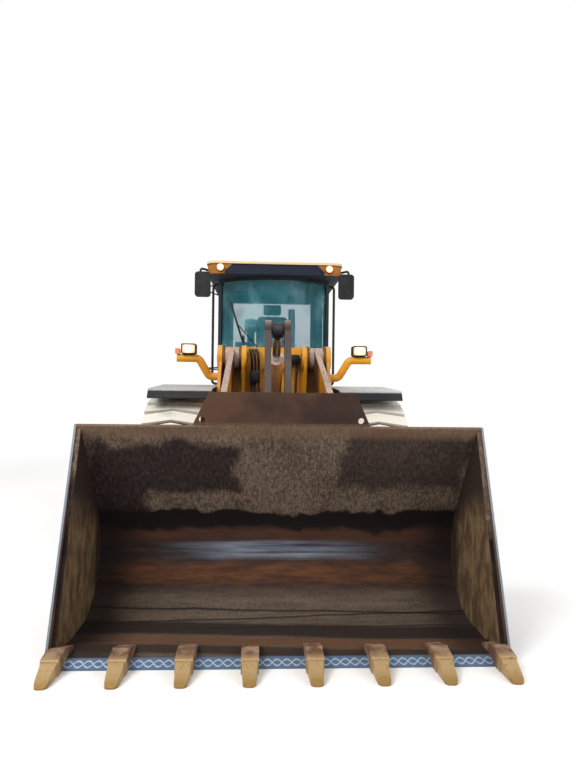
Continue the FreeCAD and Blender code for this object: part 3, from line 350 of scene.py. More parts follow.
def bucket_steel():
    """Worn bucket with painted shadows, shade and glint: its wall, rolled back, floor, sides, rusty back,
    spill guard and polished edge.
    """
    m = Shade("bucket_steel", 0.22)
    broad = m.noise(2.1, 6.0)
    grain = m.noise(70.0, 6.0, rough=0.75)
    hatch = m.noise(30.0, 5.0, stretch=(2.0, 1.0, 0.6), rough=0.7)
    streaks = m.noise(7.0, 6.0, stretch=(0.45, 2.6, 2.6), rough=0.7)
    warp = (broad - 0.5) * 0.26 + (m.noise(6.5, 2.0) - 0.5) * 0.10
    upper = bucket_wall(m, broad, grain, hatch, warp)
    steel = m.mix(bucket_curve(m, streaks, warp), upper, (m.z + warp).step(0.735, 0.765))
    foot = m.mix("43291A", "663F27", streaks.step(0.35, 0.65))
    steel = m.mix(steel, foot, m.band(m.z + warp * 0.3, 0.20, 0.33, 0.04) * 0.85)
    steel = m.mix(steel, bucket_floor(m, grain, hatch, streaks, warp), m.z.step(0.20, 0.10))
    # Painted shade: near black at the rolled back's ends by the side plates
    ends = abs(m.x + warp * 0.5).step(1.02, 1.30) * m.band(m.z, 0.15, 0.78, 0.08)
    steel = m.mix(steel, "120D0D", (ends * 0.8).clamp())
    rust = m.mix("543A2C", "6E4C36", broad.step(0.35, 0.7))
    rust = m.mix(rust, "33241C", grain.step(0.52, 0.72) * 0.6)
    rust = m.mix(rust, "8D7B68", (m.nz.step(0.2, 0.9) * 0.6).clamp())
    steel = m.mix(steel, rust, m.ny.step(0.05, 0.3))
    side = abs(m.nx).step(0.6, 0.8)
    steel = m.mix(steel, bucket_sides(m, broad, grain, warp), side)
    guard = m.mix("5E4436", "3E2F2A", (broad + m.x * 0.25).step(0.4, 0.7))
    steel = m.mix(steel, guard, (m.z.step(1.455, 1.47) * (1.0 - side)).clamp())
    cutter = abs(m.x).step(BUCKET_HALF + 0.0005, BUCKET_HALF + 0.0025) * m.nz.step(0.9, 0.3)
    steel = m.mix(steel, "8894A0", (cutter * (1.0 - side) * 0.7).clamp())
    edge = (m.y.step(-3.755, -3.77) * m.z.step(0.10, 0.05)).clamp()
    weave = (m.x * 52.0).sin() * 0.020
    across = m.y - EDGE_MIDDLE_Y
    chain = (1.0 - abs(across + weave) * 130.0).high(1.0 - abs(across - weave) * 130.0).clamp()
    steel = m.mix(steel, m.mix("5E7088", "B4C4D4", chain), edge)
    polish = (edge * 0.4 + m.band(m.z, 0.30, 0.60, 0.05) * 0.18).clamp()
    return m.finish(steel, (0.84 - polish).clamp(), Metallic=(edge * 0.5).clamp(),
                    Normal=m.bump(grain * 0.6 + hatch * 0.4 + chain * edge * 0.5, 0.35, 0.006))


def tooth_steel():
    """Brown cast adapters whose points are worn to a dull gold."""
    m = Shade("tooth_steel", 0.22)
    grain = m.noise(38.0, 5.0)
    broad = m.noise(9.0, 3.0)
    tip = (m.y + (broad - 0.5) * 0.08).step(-3.84, -3.93)
    shade = m.mix("6B4C38", "9A8068", broad.step(0.4, 0.65))
    shade = m.mix(shade, "AC8F64", tip)
    shade = m.mix(shade, "86662F", (tip * m.y.step(-3.97, -4.05) * 0.8).clamp())
    shade = m.mix(shade, "5E4430", grain.step(0.56, 0.75) * 0.6)
    return m.finish(shade, (0.7 - tip * 0.25).clamp(), Metallic=0.2, Normal=m.bump(grain, 0.35, 0.004))


# Rubber, metal, glass and plastic
def tyre_rubber(name, y):
    """Dusty rubber: cream on the lugs' faces, grey on the flanks, nearly black between the lugs."""
    m = Shade(name, 0.15)
    dy = m.y - y
    dz = m.z - AXLE_Z
    radius = (dy * dy + dz * dz) ** 0.5
    broad = m.noise(4.0, 5.0)
    grain = m.noise(70.0, 4.0)
    lug = radius.step(0.752, 0.772)
    dusty = (0.35 + broad * 0.5 + lug * 0.45).clamp()
    tread = m.band(abs(m.x), 0.70, 1.322, 0.004) * radius.step(0.69, 0.70)
    shade = m.mix("2B2724", "8F877A", dusty * 0.7)
    shade = m.mix(shade, "2A2622", (tread * (1.0 - lug) * 0.85).clamp())
    shade = m.mix(shade, "E2DCCF", (lug * broad.step(0.2, 0.45) * 0.95).clamp())
    ring = (radius * 150.0).sin().step(0.2, 0.9) * radius.step(0.52, 0.50) * radius.step(0.40, 0.42)
    ring = ring.clamp()
    shade = m.mix(shade, "1C1A18", ring * 0.5)
    return m.finish(shade, 0.92, Normal=m.bump(grain + ring, 0.3, 0.004))


def plain(name, base, other, rough=0.5, metallic=0.0, scale=12.0, dusty=0.25):
    """Two close shades in fine grain, with a little dust on top."""
    m = Shade(name, 0.25)
    grain = m.noise(scale, 4.0)
    shade = m.mix(base, other, grain.step(0.4, 0.7))
    shade = m.mix(shade, "9A8E7A", (m.nz.step(0.3, 0.9) * dusty).clamp())
    return m.finish(shade, (rough + (grain - 0.5) * 0.2).clamp(), Metallic=metallic)


def tinted_glass(base):
    """Thin teal glass with smudges."""
    m = Shade("tinted_glass")
    smudge = m.noise(3.0, 4.0)
    shade = m.mix(base, "6FAFB8", smudge.step(0.4, 0.7))
    m.surface.inputs["IOR"].default_value = 1.45
    return m.finish(shade, 0.06, Alpha=(0.24 + smudge.step(0.45, 0.75) * 0.12).clamp())


def rod_with_eye():
    """Polished rod whose forged eye at its front end is dark and dusty."""
    m = Shade("rod_with_eye", 0.3)
    grain = m.noise(26.0, 4.0)
    eye = (m.y + 1.812).step(0.008, -0.004)
    shade = m.mix("D8D8DC", m.mix("2A2629", "3E383A", grain.step(0.4, 0.7)), eye)
    return m.finish(shade, (0.18 + eye * 0.4 + grain * 0.1).clamp(), Metallic=(1.0 - eye).clamp())


def chrome():
    """Polished cylinder rod."""
    m = Shade("chrome_rod")
    grain = m.noise(20.0, 2.0)
    shade = m.mix("D8D8DC", "A9A39A", grain.step(0.5, 0.8))
    return m.finish(shade, (0.14 + grain * 0.12).clamp(), Metallic=1.0)


def lens(name, base, glow=0.0, centre=(0.0, 0.0), radius=0.0):
    """Ribbed lamp glass; with a radius it is brightest round the lamp's centre and warm at its rim."""
    m = Shade(name)
    shade = m.mix(base, "FFFFFF", (m.x * 420.0).sin().step(0.2, 1.0) * 0.3)
    if radius:
        dx = abs(m.x) - centre[0]
        dz = m.z - centre[1]
        rim = ((dx * dx + dz * dz) ** 0.5).step(radius * 0.35, radius)
        shade = m.mix(shade, "B9814A", rim * 0.9)
    m.surface.inputs["Emission Strength"].default_value = glow
    return m.finish(shade, 0.15, Emission_Color=shade)


MATERIALS = {}


def make_materials(looks):
    MATERIALS.update({
        "yellow": loader_yellow(looks.paint_colour),
        "rim": paint("rim_yellow", "C98A2A", "A8742A", dusty=0.8, rough=0.6),
        "roof": roof_paint(looks.roof_colour),
        "cab": cab_paint(looks.cab_colour),
        "arm": arm_paint(looks.arm_colour),
        "fender": fender_paint(),
        "dark": paint("dark_paint", "2E2524", "231C1B", dust="B7AFA2", dusty=0.6, rough=0.6),
        "lever": paint("lever_brown", "3A2A2B", "2B1F20", dusty=0.35, rough=0.5),
        "casting": paint("casting_grey", "37322F", "2A2624", dust="8F8474", dusty=0.7, rough=0.7),
        "bucket": bucket_steel(),
        "tooth": tooth_steel(),
        "chrome": chrome(),
        "rod_eye": rod_with_eye(),
        "pin": plain("pin_steel", "7C776F", "4F4A44", rough=0.4, metallic=0.8),
        "glass": tinted_glass(looks.glass_colour),
        "black": plain("black_plastic", "17171A", "26262A"),
        "cloth": plain("seat_cloth", "2B2B30", "3A3A40", rough=0.9, scale=90.0),
        "lens": lens("lamp_lens", "E8ECEA"),
        "lit_lens": lens("lit_lens", "FFEBC0", looks.head_lamp_glow, HEAD_LAMP, 0.085),
        "roof_lens": lens("roof_lens", "FFEBC0", looks.roof_lamp_glow, ROOF_LAMP, 0.046),
        "orange_lens": lens("orange_lens", "E0620C", 0.04),
        "red_lens": lens("red_lens", "B01A12"),
        "rubber": plain("window_rubber", "131416", "1F2022", rough=0.6, dusty=0.15),
        "mirror": plain("mirror_glass", "C8CDD0", "C8CDD0", rough=0.05, metallic=1.0),
    })
    for place, y in (("front", FRONT_AXLE_Y), ("rear", REAR_AXLE_Y)):
        MATERIALS["tyre_" + place] = tyre_rubber("tyre_" + place, y)


# Each material's CAD nodes; what isn't named is machine yellow
LOOK_NODES = {
    "cab": "cab_frame cab_door",
    "arm": "lift_arms tilt_cylinder_barrel",
    "roof": "cab_roof",
    "fender": "front_fenders rear_fenders",
    "dark": "access_steps side_tanks",
    "lever": "tilt_lever tilt_link",
    "casting": "front_axle rear_axle engine_block counterweight exhaust_stack",
    "bucket": "bucket",
    "tooth": "bucket_teeth",
    "pin": "bucket_hinge_pins lever_pin link_pin arm_pivot_pins",
    "rod_eye": "tilt_cylinder_rod",
    "chrome": "lift_cylinder_rods steer_cylinder_rod_left steer_cylinder_rod_right",
    "glass": "cab_glass door_glass",
    "black": "air_precleaner mirrors steering_wheel steering_column side_console cooling_grille grab_rails"
             " head_lamps roof_lamps",
    "cloth": "operator_seat",
    "orange_lens": "indicator_lamps",
    "red_lens": "rear_lamps",
    "rim": "rim_front_left rim_front_right rim_rear_left rim_rear_right",
    "tyre_front": "tyre_front_left tyre_front_right",
    "tyre_rear": "tyre_rear_left tyre_rear_right",
}


def dress(obj, look):
    obj.data.materials.clear()
    obj.data.materials.append(MATERIALS[look])


def colour_property(name, description, shade):
    """A property that holds a colour, whose default is an sRGB hex string."""
    return bpy.props.FloatVectorProperty(name=name, description=description, default=colour(shade)[:3],
                                         min=0.0, max=1.0, size=3, subtype="COLOR")


class LoaderLooks(bpy.types.PropertyGroup):
    """Colours and sizes that a user would change"""
    paint_colour: colour_property("Paint", "Yellow of the frames, hood and cylinders", "DC9A24")
    cab_colour: colour_property("Cab paint", "Yellow of the cab's lower panels", "E09A26")
    arm_colour: colour_property("Arm paint", "Yellow of the lift arms under their dust", "DB9526")
    roof_colour: colour_property("Roof", "Tan of the cab roof's brim", "A9682A")
    glass_colour: colour_property("Glass", "Tint of the cab's windows", "2E8291")
    head_lamp_glow: bpy.props.FloatProperty(
        name="Head lamp glow", description="Emission of the head lamps", default=0.7, min=0.0, max=5.0)
    roof_lamp_glow: bpy.props.FloatProperty(
        name="Roof lamp glow", description="Emission of the roof lamps", default=0.9, min=0.0, max=5.0)
    wheel_nuts: bpy.props.IntProperty(
        name="Wheel nuts", description="Nuts on each wheel disc", default=20, min=6, max=32)
    nut_size: bpy.props.FloatProperty(
        name="Nut size", description="Radius and height of a nut", default=0.017, min=0.005, unit="LENGTH")
    camera_x: bpy.props.FloatProperty(
        name="Camera X", description="Camera's place across the machine", default=-0.148, unit="LENGTH")
    camera_y: bpy.props.FloatProperty(
        name="Camera Y", description="Camera's place along the machine", default=-7.37, unit="LENGTH")
    camera_height: bpy.props.FloatProperty(
        name="Camera height", description="Camera's height over the floor", default=1.73, unit="LENGTH")
    focal_length: bpy.props.FloatProperty(
        name="Focal length", description="Camera's focal length on a 36 mm sensor", default=27.05, min=10.0,
        max=200.0, unit="CAMERA")


class LOADER_OT_materials(bpy.types.Operator):
    """Give every CAD node its worn, dusty material"""
    bl_idname = "loader.materials"
    bl_label = "Dress CAD nodes"

    def execute(self, context):
        make_materials(context.scene.loader_looks)
        node_looks = {name: look for look, names in LOOK_NODES.items() for name in names.split()}
        for name, obj in NODES.items():
            dress(obj, node_looks.get(name, "yellow"))
        return {"FINISHED"}


# Modelling steps that the operators share
def start(kind, place, stretch=(1, 1, 1), turn=(0, 0, 0), **settings):
    """A new primitive, alone in the selection, with its place in its mesh, open for editing."""
    bpy.ops.object.select_all(action="DESELECT")
    getattr(bpy.ops.mesh, "primitive_" + kind + "_add")(location=place, rotation=turn, **settings)
    bpy.context.object.scale = stretch
    bpy.ops.object.transform_apply(location=True, rotation=True, scale=True)
    bpy.ops.object.mode_set(mode="EDIT")
    bpy.ops.mesh.select_mode(type="FACE")


def block(low, high):
    """A box between two corners, open for editing."""
    place = [(a + b) / 2 for a, b in zip(low, high)]
    start("cube", place, [b - a for a, b in zip(low, high)], size=1.0)


def disc(place, radius, depth, vertices, turn=(0, 0, 0)):
    """A short round bar, open for editing."""
    start("cylinder", place, turn=turn, vertices=vertices, radius=radius, depth=depth)


def facing(way):
    """A test for faces that look one way along an axis, as "+x" says, or both ways, as "x" says."""
    axis = "xyz".index(way[-1])
    sign = {"+": 1, "-": -1}.get(way[0])
    return lambda c, n: (n[axis] * sign if sign else abs(n[axis])) > 0.9


def pick(test):
    """Selects the faces that look a given way, or whose middle c and direction n pass a test."""
    if isinstance(test, str):
        test = facing(test)
    bpy.ops.mesh.select_all(action="DESELECT")
    mesh = bmesh.from_edit_mesh(bpy.context.object.data)
    for face in mesh.faces:
        if test(face.calc_center_median(), face.normal):
            face.select_set(True)
    bmesh.update_edit_mesh(bpy.context.object.data)


def push(x=0.0, y=0.0, z=0.0):
    bpy.ops.mesh.extrude_region_move(TRANSFORM_OT_translate={"value": (x, y, z)})


def rim_in(test, thickness, **shift):
    """Insets the faces that pass the test, and pushes what is left inside the rim if a shift is given."""
    pick(test)
    bpy.ops.mesh.inset(thickness=thickness)
    if shift:
        push(**shift)


def plate(low, high, way, rim, bevel, **shift):
    """A box with a rim round its faces that look one way, softened and closed."""
    block(low, high)
    rim_in(way, rim, **shift)
    return leave(bevel)


def taper(test, *value):
    pick(test)
    bpy.ops.transform.resize(value=value)


def leave(bevel=0.0, segments=2, turns=()):
    """Closes editing, softens the sharp edges, turns the piece about each centre and gives it back."""
    bpy.ops.object.mode_set(mode="OBJECT")
    piece = bpy.context.object
    if bevel:
        soften = piece.modifiers.new("soften", "BEVEL")
        soften.width = bevel
        soften.segments = segments
        bpy.ops.object.modifier_apply(modifier=soften.name)
    for centre, axis, angle in turns:
        middle = Vector(centre)
        turn = Matrix.Translation(middle) @ Matrix.Rotation(angle, 4, axis) @ Matrix.Translation(-middle)
        piece.data.transform(turn)
    return piece


def repeat(piece, count, step):
    """A straight row of the piece."""
    row = piece.modifiers.new("row", "ARRAY")
    row.count = count
    row.use_relative_offset = False
    row.use_constant_offset = True
    row.constant_offset_displace = step
    bpy.ops.object.modifier_apply(modifier=row.name)
    return piece


def ring_of(count, centre):
    """Copies what is being edited round a wheel's axis."""
    bpy.ops.mesh.select_all(action="SELECT")
    bpy.ops.mesh.spin(steps=count, dupli=True, angle=2 * math.pi, center=centre, axis=(1, 0, 0))
    bpy.ops.mesh.select_all(action="SELECT")
    bpy.ops.mesh.remove_doubles(threshold=0.0002)
    bpy.ops.mesh.normals_make_consistent(inside=False)


def pipe(points, radius):
    """A round pipe along a smooth curve through five points."""
    bpy.ops.object.select_all(action="DESELECT")
    bpy.ops.curve.primitive_nurbs_path_add(location=(0, 0, 0))
    curve = bpy.context.object
    for knot, point in zip(curve.data.splines[0].points, points):
        knot.co = (*point, 1.0)
    curve.data.bevel_depth = radius
    curve.data.bevel_resolution = 3
    curve.data.resolution_u = 8
    curve.data.use_fill_caps = True
    bpy.ops.object.convert(target="MESH")
    return bpy.context.object


def bond(name, look, body, pieces, mirror=False, smooth=35):
    """Joins pieces into one that is named, dressed and riding on its body, with its mirror image if asked."""
    bpy.ops.object.select_all(action="DESELECT")
    for piece in pieces:
        piece.select_set(True)
    bpy.context.view_layer.objects.active = pieces[0]
    if len(pieces) > 1:
        bpy.ops.object.join()
    piece = bpy.context.object
    piece.name = piece.data.name = name
    if mirror:
        other = piece.modifiers.new("other_side", "MIRROR")
        bpy.ops.object.modifier_apply(modifier=other.name)
    bpy.ops.object.shade_smooth_by_angle(angle=math.radians(smooth))
    dress(piece, look)
    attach(piece, body)
    return piece


def bolt(place, radius, height, sign=1):
    """A hexagon head with a washer face and a raised stud, pointing outwards along x."""
    middle = (place[0] + sign * height / 2, place[1], place[2])
    disc(middle, radius, height, 6, turn=(0, math.pi / 2, 0))
    rim_in("+x" if sign > 0 else "-x", radius * 0.25, x=sign * height * 0.15)
    bpy.ops.mesh.inset(thickness=radius * 0.22)
    push(x=sign * height * 0.35)


class LOADER_OT_wheel_nuts(bpy.types.Operator):
    """Nuts on each wheel disc, and bolts and a drain plug on each planetary hub"""
    bl_idname = "loader.wheel_nuts"
    bl_label = "Wheel nuts and hub bolts"

    def execute(self, context):
        looks = context.scene.loader_looks
        rings = ((DISC_OUT, 0.262, looks.wheel_nuts, looks.nut_size), (HUB_OUT, 0.164, 12, 0.010))
        for side, sign in (("left", 1), ("right", -1)):
            for place, y in (("front", FRONT_AXLE_Y), ("rear", REAR_AXLE_Y)):
                parts = []
                for out, radius, count, size in rings:
                    bolt((sign * out, y, AXLE_Z + radius), size, size, sign)
                    ring_of(count, (0, y, AXLE_Z))
                    parts.append(leave())
                bolt((sign * CAP_OUT, y, AXLE_Z + 0.055), 0.014, 0.010, sign)
                parts.append(leave())
                bolt((sign * CAP_OUT, y, AXLE_Z), 0.026, 0.006, sign)
                parts.append(leave(0.002))
                bond("wheel_nuts_%s_%s" % (place, side), "pin", "wheel_%s_%s" % (place, side), parts)
        return {"FINISHED"}


class LOADER_OT_windows(bpy.types.Operator):
    """Rubber seals along the curved windscreen and round the flat windows, and the wiper"""
    bl_idname = "loader.windows"
    bl_label = "Window seals and wiper"

    def execute(self, context):
        strips = [self.curved_strip(z0, z1) for z0, z1 in ((1.948, 1.966), (3.040, 3.056))]
        bond("windscreen_seal", "rubber", "rear_frame", strips)
        quarter = (1.15, 1.34)
        tall = (2.02, 2.99)
        bond("side_window_seals", "rubber", "rear_frame", [
            self.window_frame("y", CAB_REAR_Y, (-0.60, 0.60), (2.05, 2.99)),
            self.window_frame("x", -CAB_SIDE_X, (0.27, 1.05), tall),
            self.window_frame("x", -CAB_SIDE_X, quarter, tall),
            self.window_frame("x", CAB_SIDE_X, quarter, tall),
        ])
        door = self.window_frame("x", CAB_SIDE_X, (0.30, 1.02), (1.96, 2.97))
        bond("door_window_seal", "rubber", "cab_door", [door])
        self.wiper()
        return {"FINISHED"}

    def curved_strip(self, z0, z1):
        """A strip that follows the windscreen's arc from post to post."""
        turn = math.asin(0.672 / GLASS_ARC_R)
        side = Vector((math.cos(turn), -math.sin(turn), 0))
        block((-0.004, -GLASS_ARC_R - 0.007, z0), (0.004, -GLASS_ARC_R + 0.006, z1))
        bpy.ops.object.mode_set(mode="OBJECT")
        to_post = Matrix.Translation((0, GLASS_ARC_Y, 0)) @ Matrix.Rotation(-turn, 4, "Z")
        bpy.context.object.data.transform(to_post)
        bpy.ops.object.mode_set(mode="EDIT")
        pick(lambda c, n: n.dot(side) > 0.9)
        bpy.ops.mesh.spin(steps=24, angle=2 * turn, center=(0, GLASS_ARC_Y, 0), axis=(0, 0, 1))
        bpy.ops.mesh.select_all(action="SELECT")
        bpy.ops.mesh.normals_make_consistent(inside=False)
        return leave(0.003)

    def window_frame(self, axis, at, across, height):
        """A flat ring with softened edges round one window, standing proud of its panel."""
        proud = 0.006
        margin = 0.02
        low = [at - proud, across[0] - margin, height[0] - margin]
        high = [at + proud, across[1] + margin, height[1] + margin]
        if axis == "y":
            low[:2] = low[1::-1]
            high[:2] = high[1::-1]
        block(low, high)
        rim_in(axis, 0.035)
        bpy.ops.mesh.bridge_edge_loops()
        return leave(0.003)

    def wiper(self):
        """Spindle, tapered arm and blade."""
        foot = (0.04, -0.232, 1.915)
        reach = (-0.50, 0.585)
        blade_middle = (-0.47, -0.125, 2.53)
        blade_half = 0.27
        disc(foot, 0.028, 0.030, 20, turn=(math.pi / 2, 0, 0))
        rim_in("-y", 0.008, y=-0.012)
        spindle = leave(0.003)
        block((-0.010, -0.262, 0), (0.010, -0.246, math.hypot(*reach)))
        taper("+z", 0.55, 0.8, 1)
        push(z=0.03)
        arm = leave(0.002, turns=(
            ((0, -0.254, 0), "X", math.radians(-7)),
            ((0, -0.25, 0), "Y", math.atan2(*reach)),
        ))
        arm.data.transform(Matrix.Translation((foot[0], 0, foot[2])))
        block((-0.007, -0.012, -blade_half), (0.007, 0.014, blade_half))
        rim_in("z", 0.002)
        rim_in("-y", 0.002, y=-0.006)
        blade = leave(0.0015, turns=(
            ((0, 0, 0), "Z", math.radians(28)),
            ((0, 0, 0), "Y", math.atan2(-0.15, 0.47)),
        ))
        blade.data.transform(Matrix.Translation(blade_middle))
        bond("windscreen_wiper", "black", "rear_frame", [spindle, arm, blade])


class LOADER_OT_cab_inside(bpy.types.Operator):
    """Blinds and radio box under the cab's ceiling, instrument pod on its stalk, and driver's chair"""
    bl_idname = "loader.cab_inside"
    bl_label = "Cab interior"

    def execute(self, context):
        parts = []
        boxes = ((-0.50, -0.335, 2.925, 3.045), (0.24, 0.44, 2.930, 3.040), (-0.315, -0.220, 2.945, 3.015))
        for x0, x1, z0, z1 in boxes:
            middle = (x0 + x1) / 2
            parts.append(plate((x0, 0.00, z0), (x1, 0.06, z1), "-y", 0.012, 0.006, y=0.008))
            block((middle - 0.012, 0.02, z1 - 0.01), (middle + 0.012, 0.04, CAB_CEILING))
            taper("-z", 1.6, 1.6, 1)
            parts.append(leave(0.003))
        block((-0.20, 0.235, 2.16), (0.20, 0.295, 2.34))
        pick("+z")
        bpy.ops.transform.translate(value=(0, 0.05, 0))
        rim_in(lambda c, n: n.y > 0.6, 0.02, y=-0.01)
        parts.append(leave(0.012, 3))
        block((-0.055, 0.27, 1.70), (0.055, 0.33, 2.17))
        taper("-z", 1.7, 1.4, 1)
        parts.append(leave(0.012))
        bond("cab_fittings_inside", "black", "rear_frame", parts)
        self.chair()
        return {"FINISHED"}

    def chair(self):
        """Bellows, base, headrest bars, and the padded cushion, backrest and headrest."""
        base = []
        for z in (1.66, 1.73, 1.80, 1.87):
            block((-0.165, 0.73, z), (0.165, 1.03, z + 0.07))
            taper("z", 0.86, 0.86, 1)
            base.append(leave(0.006))
        base.append(plate((-0.18, 0.70, 1.61), (0.18, 1.06, 1.665), "+z", 0.02, 0.008))
        block((-0.20, 0.68, 1.94), (0.20, 1.08, 2.045))
        taper("-z", 0.85, 0.85, 1)
        base.append(leave(0.01))
        for x in (-0.05, 0.04):
            block((x, 1.228, 2.70), (x + 0.012, 1.24, 2.80))
            pick("+z")
            push(z=0.02)
            base.append(leave(0.002))
        pieces = [
            bond("seat_suspension", "black", "rear_frame", base),
            self.cushion("seat_cushion", (-0.245, 0.625, 2.045), (0.245, 1.11, 2.155), (0, 0, 0.012)),
            self.cushion("seat_backrest", (-0.235, 1.10, 2.13), (0.235, 1.195, 2.755), (0, -0.012, 0),
                         math.radians(-8), (0, 1.145, 2.12)),
            self.cushion("seat_headrest", (-0.13, 1.225, 2.785), (0.13, 1.29, 2.935), (0, -0.006, 0)),
        ]
        for piece in pieces:
            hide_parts("operator_seat")

    def cushion(self, name, low, high, bulge, lean=0.0, pivot=(0, 0, 0)):
        """A padded block with a sewn channel round the face that bulges, pulled in between its corners."""
        block(low, high)
        bpy.ops.mesh.subdivide(number_cuts=3)
        rim_in("+z" if bulge[2] else "-y", 0.03)
        bpy.ops.mesh.inset(thickness=0.012, depth=-0.012)
        bpy.ops.mesh.inset(thickness=0.012, depth=0.014)
        bpy.ops.transform.translate(value=bulge)
        piece = leave(turns=((pivot, "X", lean),))
        round_off = piece.modifiers.new("round_off", "SUBSURF")
        round_off.levels = round_off.render_levels = 2
        bpy.ops.object.modifier_apply(modifier=round_off.name)
        bond(name, "cloth", "rear_frame", [piece], smooth=180)
        return piece


class LOADER_OT_lamps(bpy.types.Operator):
    """Lenses of the head lamps, roof lamps and rear lamps, and the mirror glasses"""
    bl_idname = "loader.lamps"
    bl_label = "Lamp lenses and mirrors"

    def execute(self, context):
        pane = plate((0.917, -0.701, 2.098), (1.063, -0.694, 2.193), "-y", 0.012, 0.003, y=-0.006)
        bond("head_lamp_lenses", "lit_lens", "front_frame", [pane], mirror=True)
        for name, x, y, z, sign, look in (
            ("roof_lamp_lenses", ROOF_LAMP[0], -0.392, ROOF_LAMP[1], -1, "roof_lens"),
            ("rear_work_lamp_lenses", 0.62, 1.52, 3.15, 1, "lens"),
        ):
            disc((x, y, z), 0.043, 0.006, 36, turn=(math.pi / 2, 0, 0))
            rim_in("+y" if sign > 0 else "-y", 0.006)
            for rise in (0.0025, 0.0015):
                push(y=sign * rise)
                bpy.ops.mesh.inset(thickness=0.012)
            bond(name, look, "rear_frame", [leave(0.0008)], mirror=True)
        pane = plate((0.785, 4.046, 1.335), (0.875, 4.059, 1.415), "+y", 0.006, 0.001, y=0.0015)
        bond("rear_lamp_amber_panes", "orange_lens", "rear_frame", [pane], mirror=True)
        pane = plate((0.797, -0.309, 2.817), (0.953, -0.3035, 3.088), "+y", 0.004, 0.0012, y=0.0015)
        bond("mirror_glasses", "mirror", "rear_frame", [pane], mirror=True)
        return {"FINISHED"}


class LOADER_OT_hood_trim(bpy.types.Operator):
    """Hood handles and louvres, grille mesh, pre-cleaner band and cap, exhaust clamps and coolant cap"""
    bl_idname = "loader.hood_trim"
    bl_label = "Hood trim"

    def execute(self, context):
        parts = []
        for y in (1.80, 3.20):
            for x0, x1, z0, z1 in (
                (0.638, 0.682, 1.700, 1.716), (0.638, 0.682, 1.834, 1.850), (0.668, 0.684, 1.700, 1.850),
            ):
                parts.append(plate((x0, y, z0), (x1, y + 0.020, z1), "+x", 0.003, 0.003))
        bond("hood_handles", "black", "engine_hood", parts, mirror=True)
        block((0.641, 1.91, 1.768), (0.650, 2.43, 1.776))
        pick("+x")
        bpy.ops.transform.translate(value=(0, 0, -0.010))
        slats = repeat(leave(0.0015), 10, (0, 0, 0.0245))
        bond("hood_side_louvres", "black", "engine_hood", [slats], mirror=True)
        block((-0.56, 3.599, 1.572), (0.56, 3.602, 1.575))
        pick("+y")
        push(y=0.002)
        level_wires = repeat(leave(), 25, (0, 0, 0.016))
        block((-0.555, 3.599, 1.565), (-0.552, 3.603, 1.96))
        pick("+y")
        push(y=0.001)
        upright_wires = repeat(leave(), 56, (0.0202, 0, 0))
        bond("grille_mesh", "black", "engine_hood", [level_wires, upright_wires])
        self.caps_and_clamps()
        return {"FINISHED"}

    def caps_and_clamps(self):
        """Band and cap of the air pre-cleaner, clamps on the exhaust stack, and the coolant filler's cap."""
        x, y = 0.33, 2.0
        disc((-x, y, 2.69), 0.107, 0.03, 40)
        rim_in("z", 0.03)
        band = leave(0.002)
        disc((-x, y, 2.785), 0.092, 0.03, 40)
        rim_in("+z", 0.02, z=0.012)
        bpy.ops.transform.resize(value=(0.7, 0.7, 1), center_override=(-x, y, 2.81))
        bond("precleaner_band", "pin", "engine_hood", [band, leave(0.004)])
        clamps = []
        for z in (2.40, 2.70):
            disc((x, y, z), 0.059, 0.03, 32)
            rim_in("z", 0.004)
            bpy.ops.mesh.inset(thickness=0.01, depth=-0.006)
            clamps.append(leave(0.001))
            bolt((x + 0.056, y, z), 0.009, 0.014)
            clamps.append(leave())
        bond("exhaust_clamps", "pin", "engine_hood", clamps)
        disc((0.0, 2.75, 2.272), 0.075, 0.05, 36)
        rim_in("+z", 0.02, z=0.014)
        bond("coolant_cap", "black", "engine_hood", [leave(0.004)])


class LOADER_OT_steps_and_flaps(bpy.types.Operator):
    """Grip bars on the treads and landings, and rubber flaps with clamping strips behind the wheels"""
    bl_idname = "loader.steps_and_flaps"
    bl_label = "Tread grips and mud flaps"

    def execute(self, context):
        treads = [(0.785, 1.225, y + 0.012, z, 6, 0.0235) for z, y in (
            (0.52, 0.70), (0.83, 0.77), (1.14, 0.85), (1.43, 0.92))]
        parts = []
        for x0, x1, y, z, count, step in treads + [(0.70, 1.24, 0.915, 1.53, 12, 0.0265)]:
            block((x0, y, z), (x1, y + 0.008, z + 0.007))
            taper("+z", 1, 0.5, 1)
            parts.append(repeat(leave(0.001), count, (0, step, 0)))
        bond("step_grips", "pin", "rear_frame", parts, mirror=True)
        for name, body, y, z0, z1 in (
            ("rear_mud_flaps", "rear_frame", 2.985, 0.95, 1.30),
            ("front_mud_flaps", "front_frame", -0.318, 1.18, 1.53),
        ):
            block((0.72, y, z0), (1.28, y + 0.012, z1))
            bpy.ops.mesh.subdivide(number_cuts=4)
            pick(lambda c, n: c.z < z0 + 0.08 and abs(n.y) > 0.5)
            bpy.ops.transform.translate(value=(0, 0.012, 0))
            flap = leave(0.003)
            strip = plate((0.72, y - 0.006, z1 - 0.05), (1.28, y, z1 - 0.01), "-y", 0.006, 0.001)
            bond(name, "rubber", body, [flap, strip], mirror=True)
        return {"FINISHED"}


def above(axis, y, lift):
    """Height of the point that lies lift above a cylinder's axis at y."""
    (y0, z0), (y1, z1) = axis
    return z0 + (y - y0) * (z1 - z0) / (y1 - y0) + lift


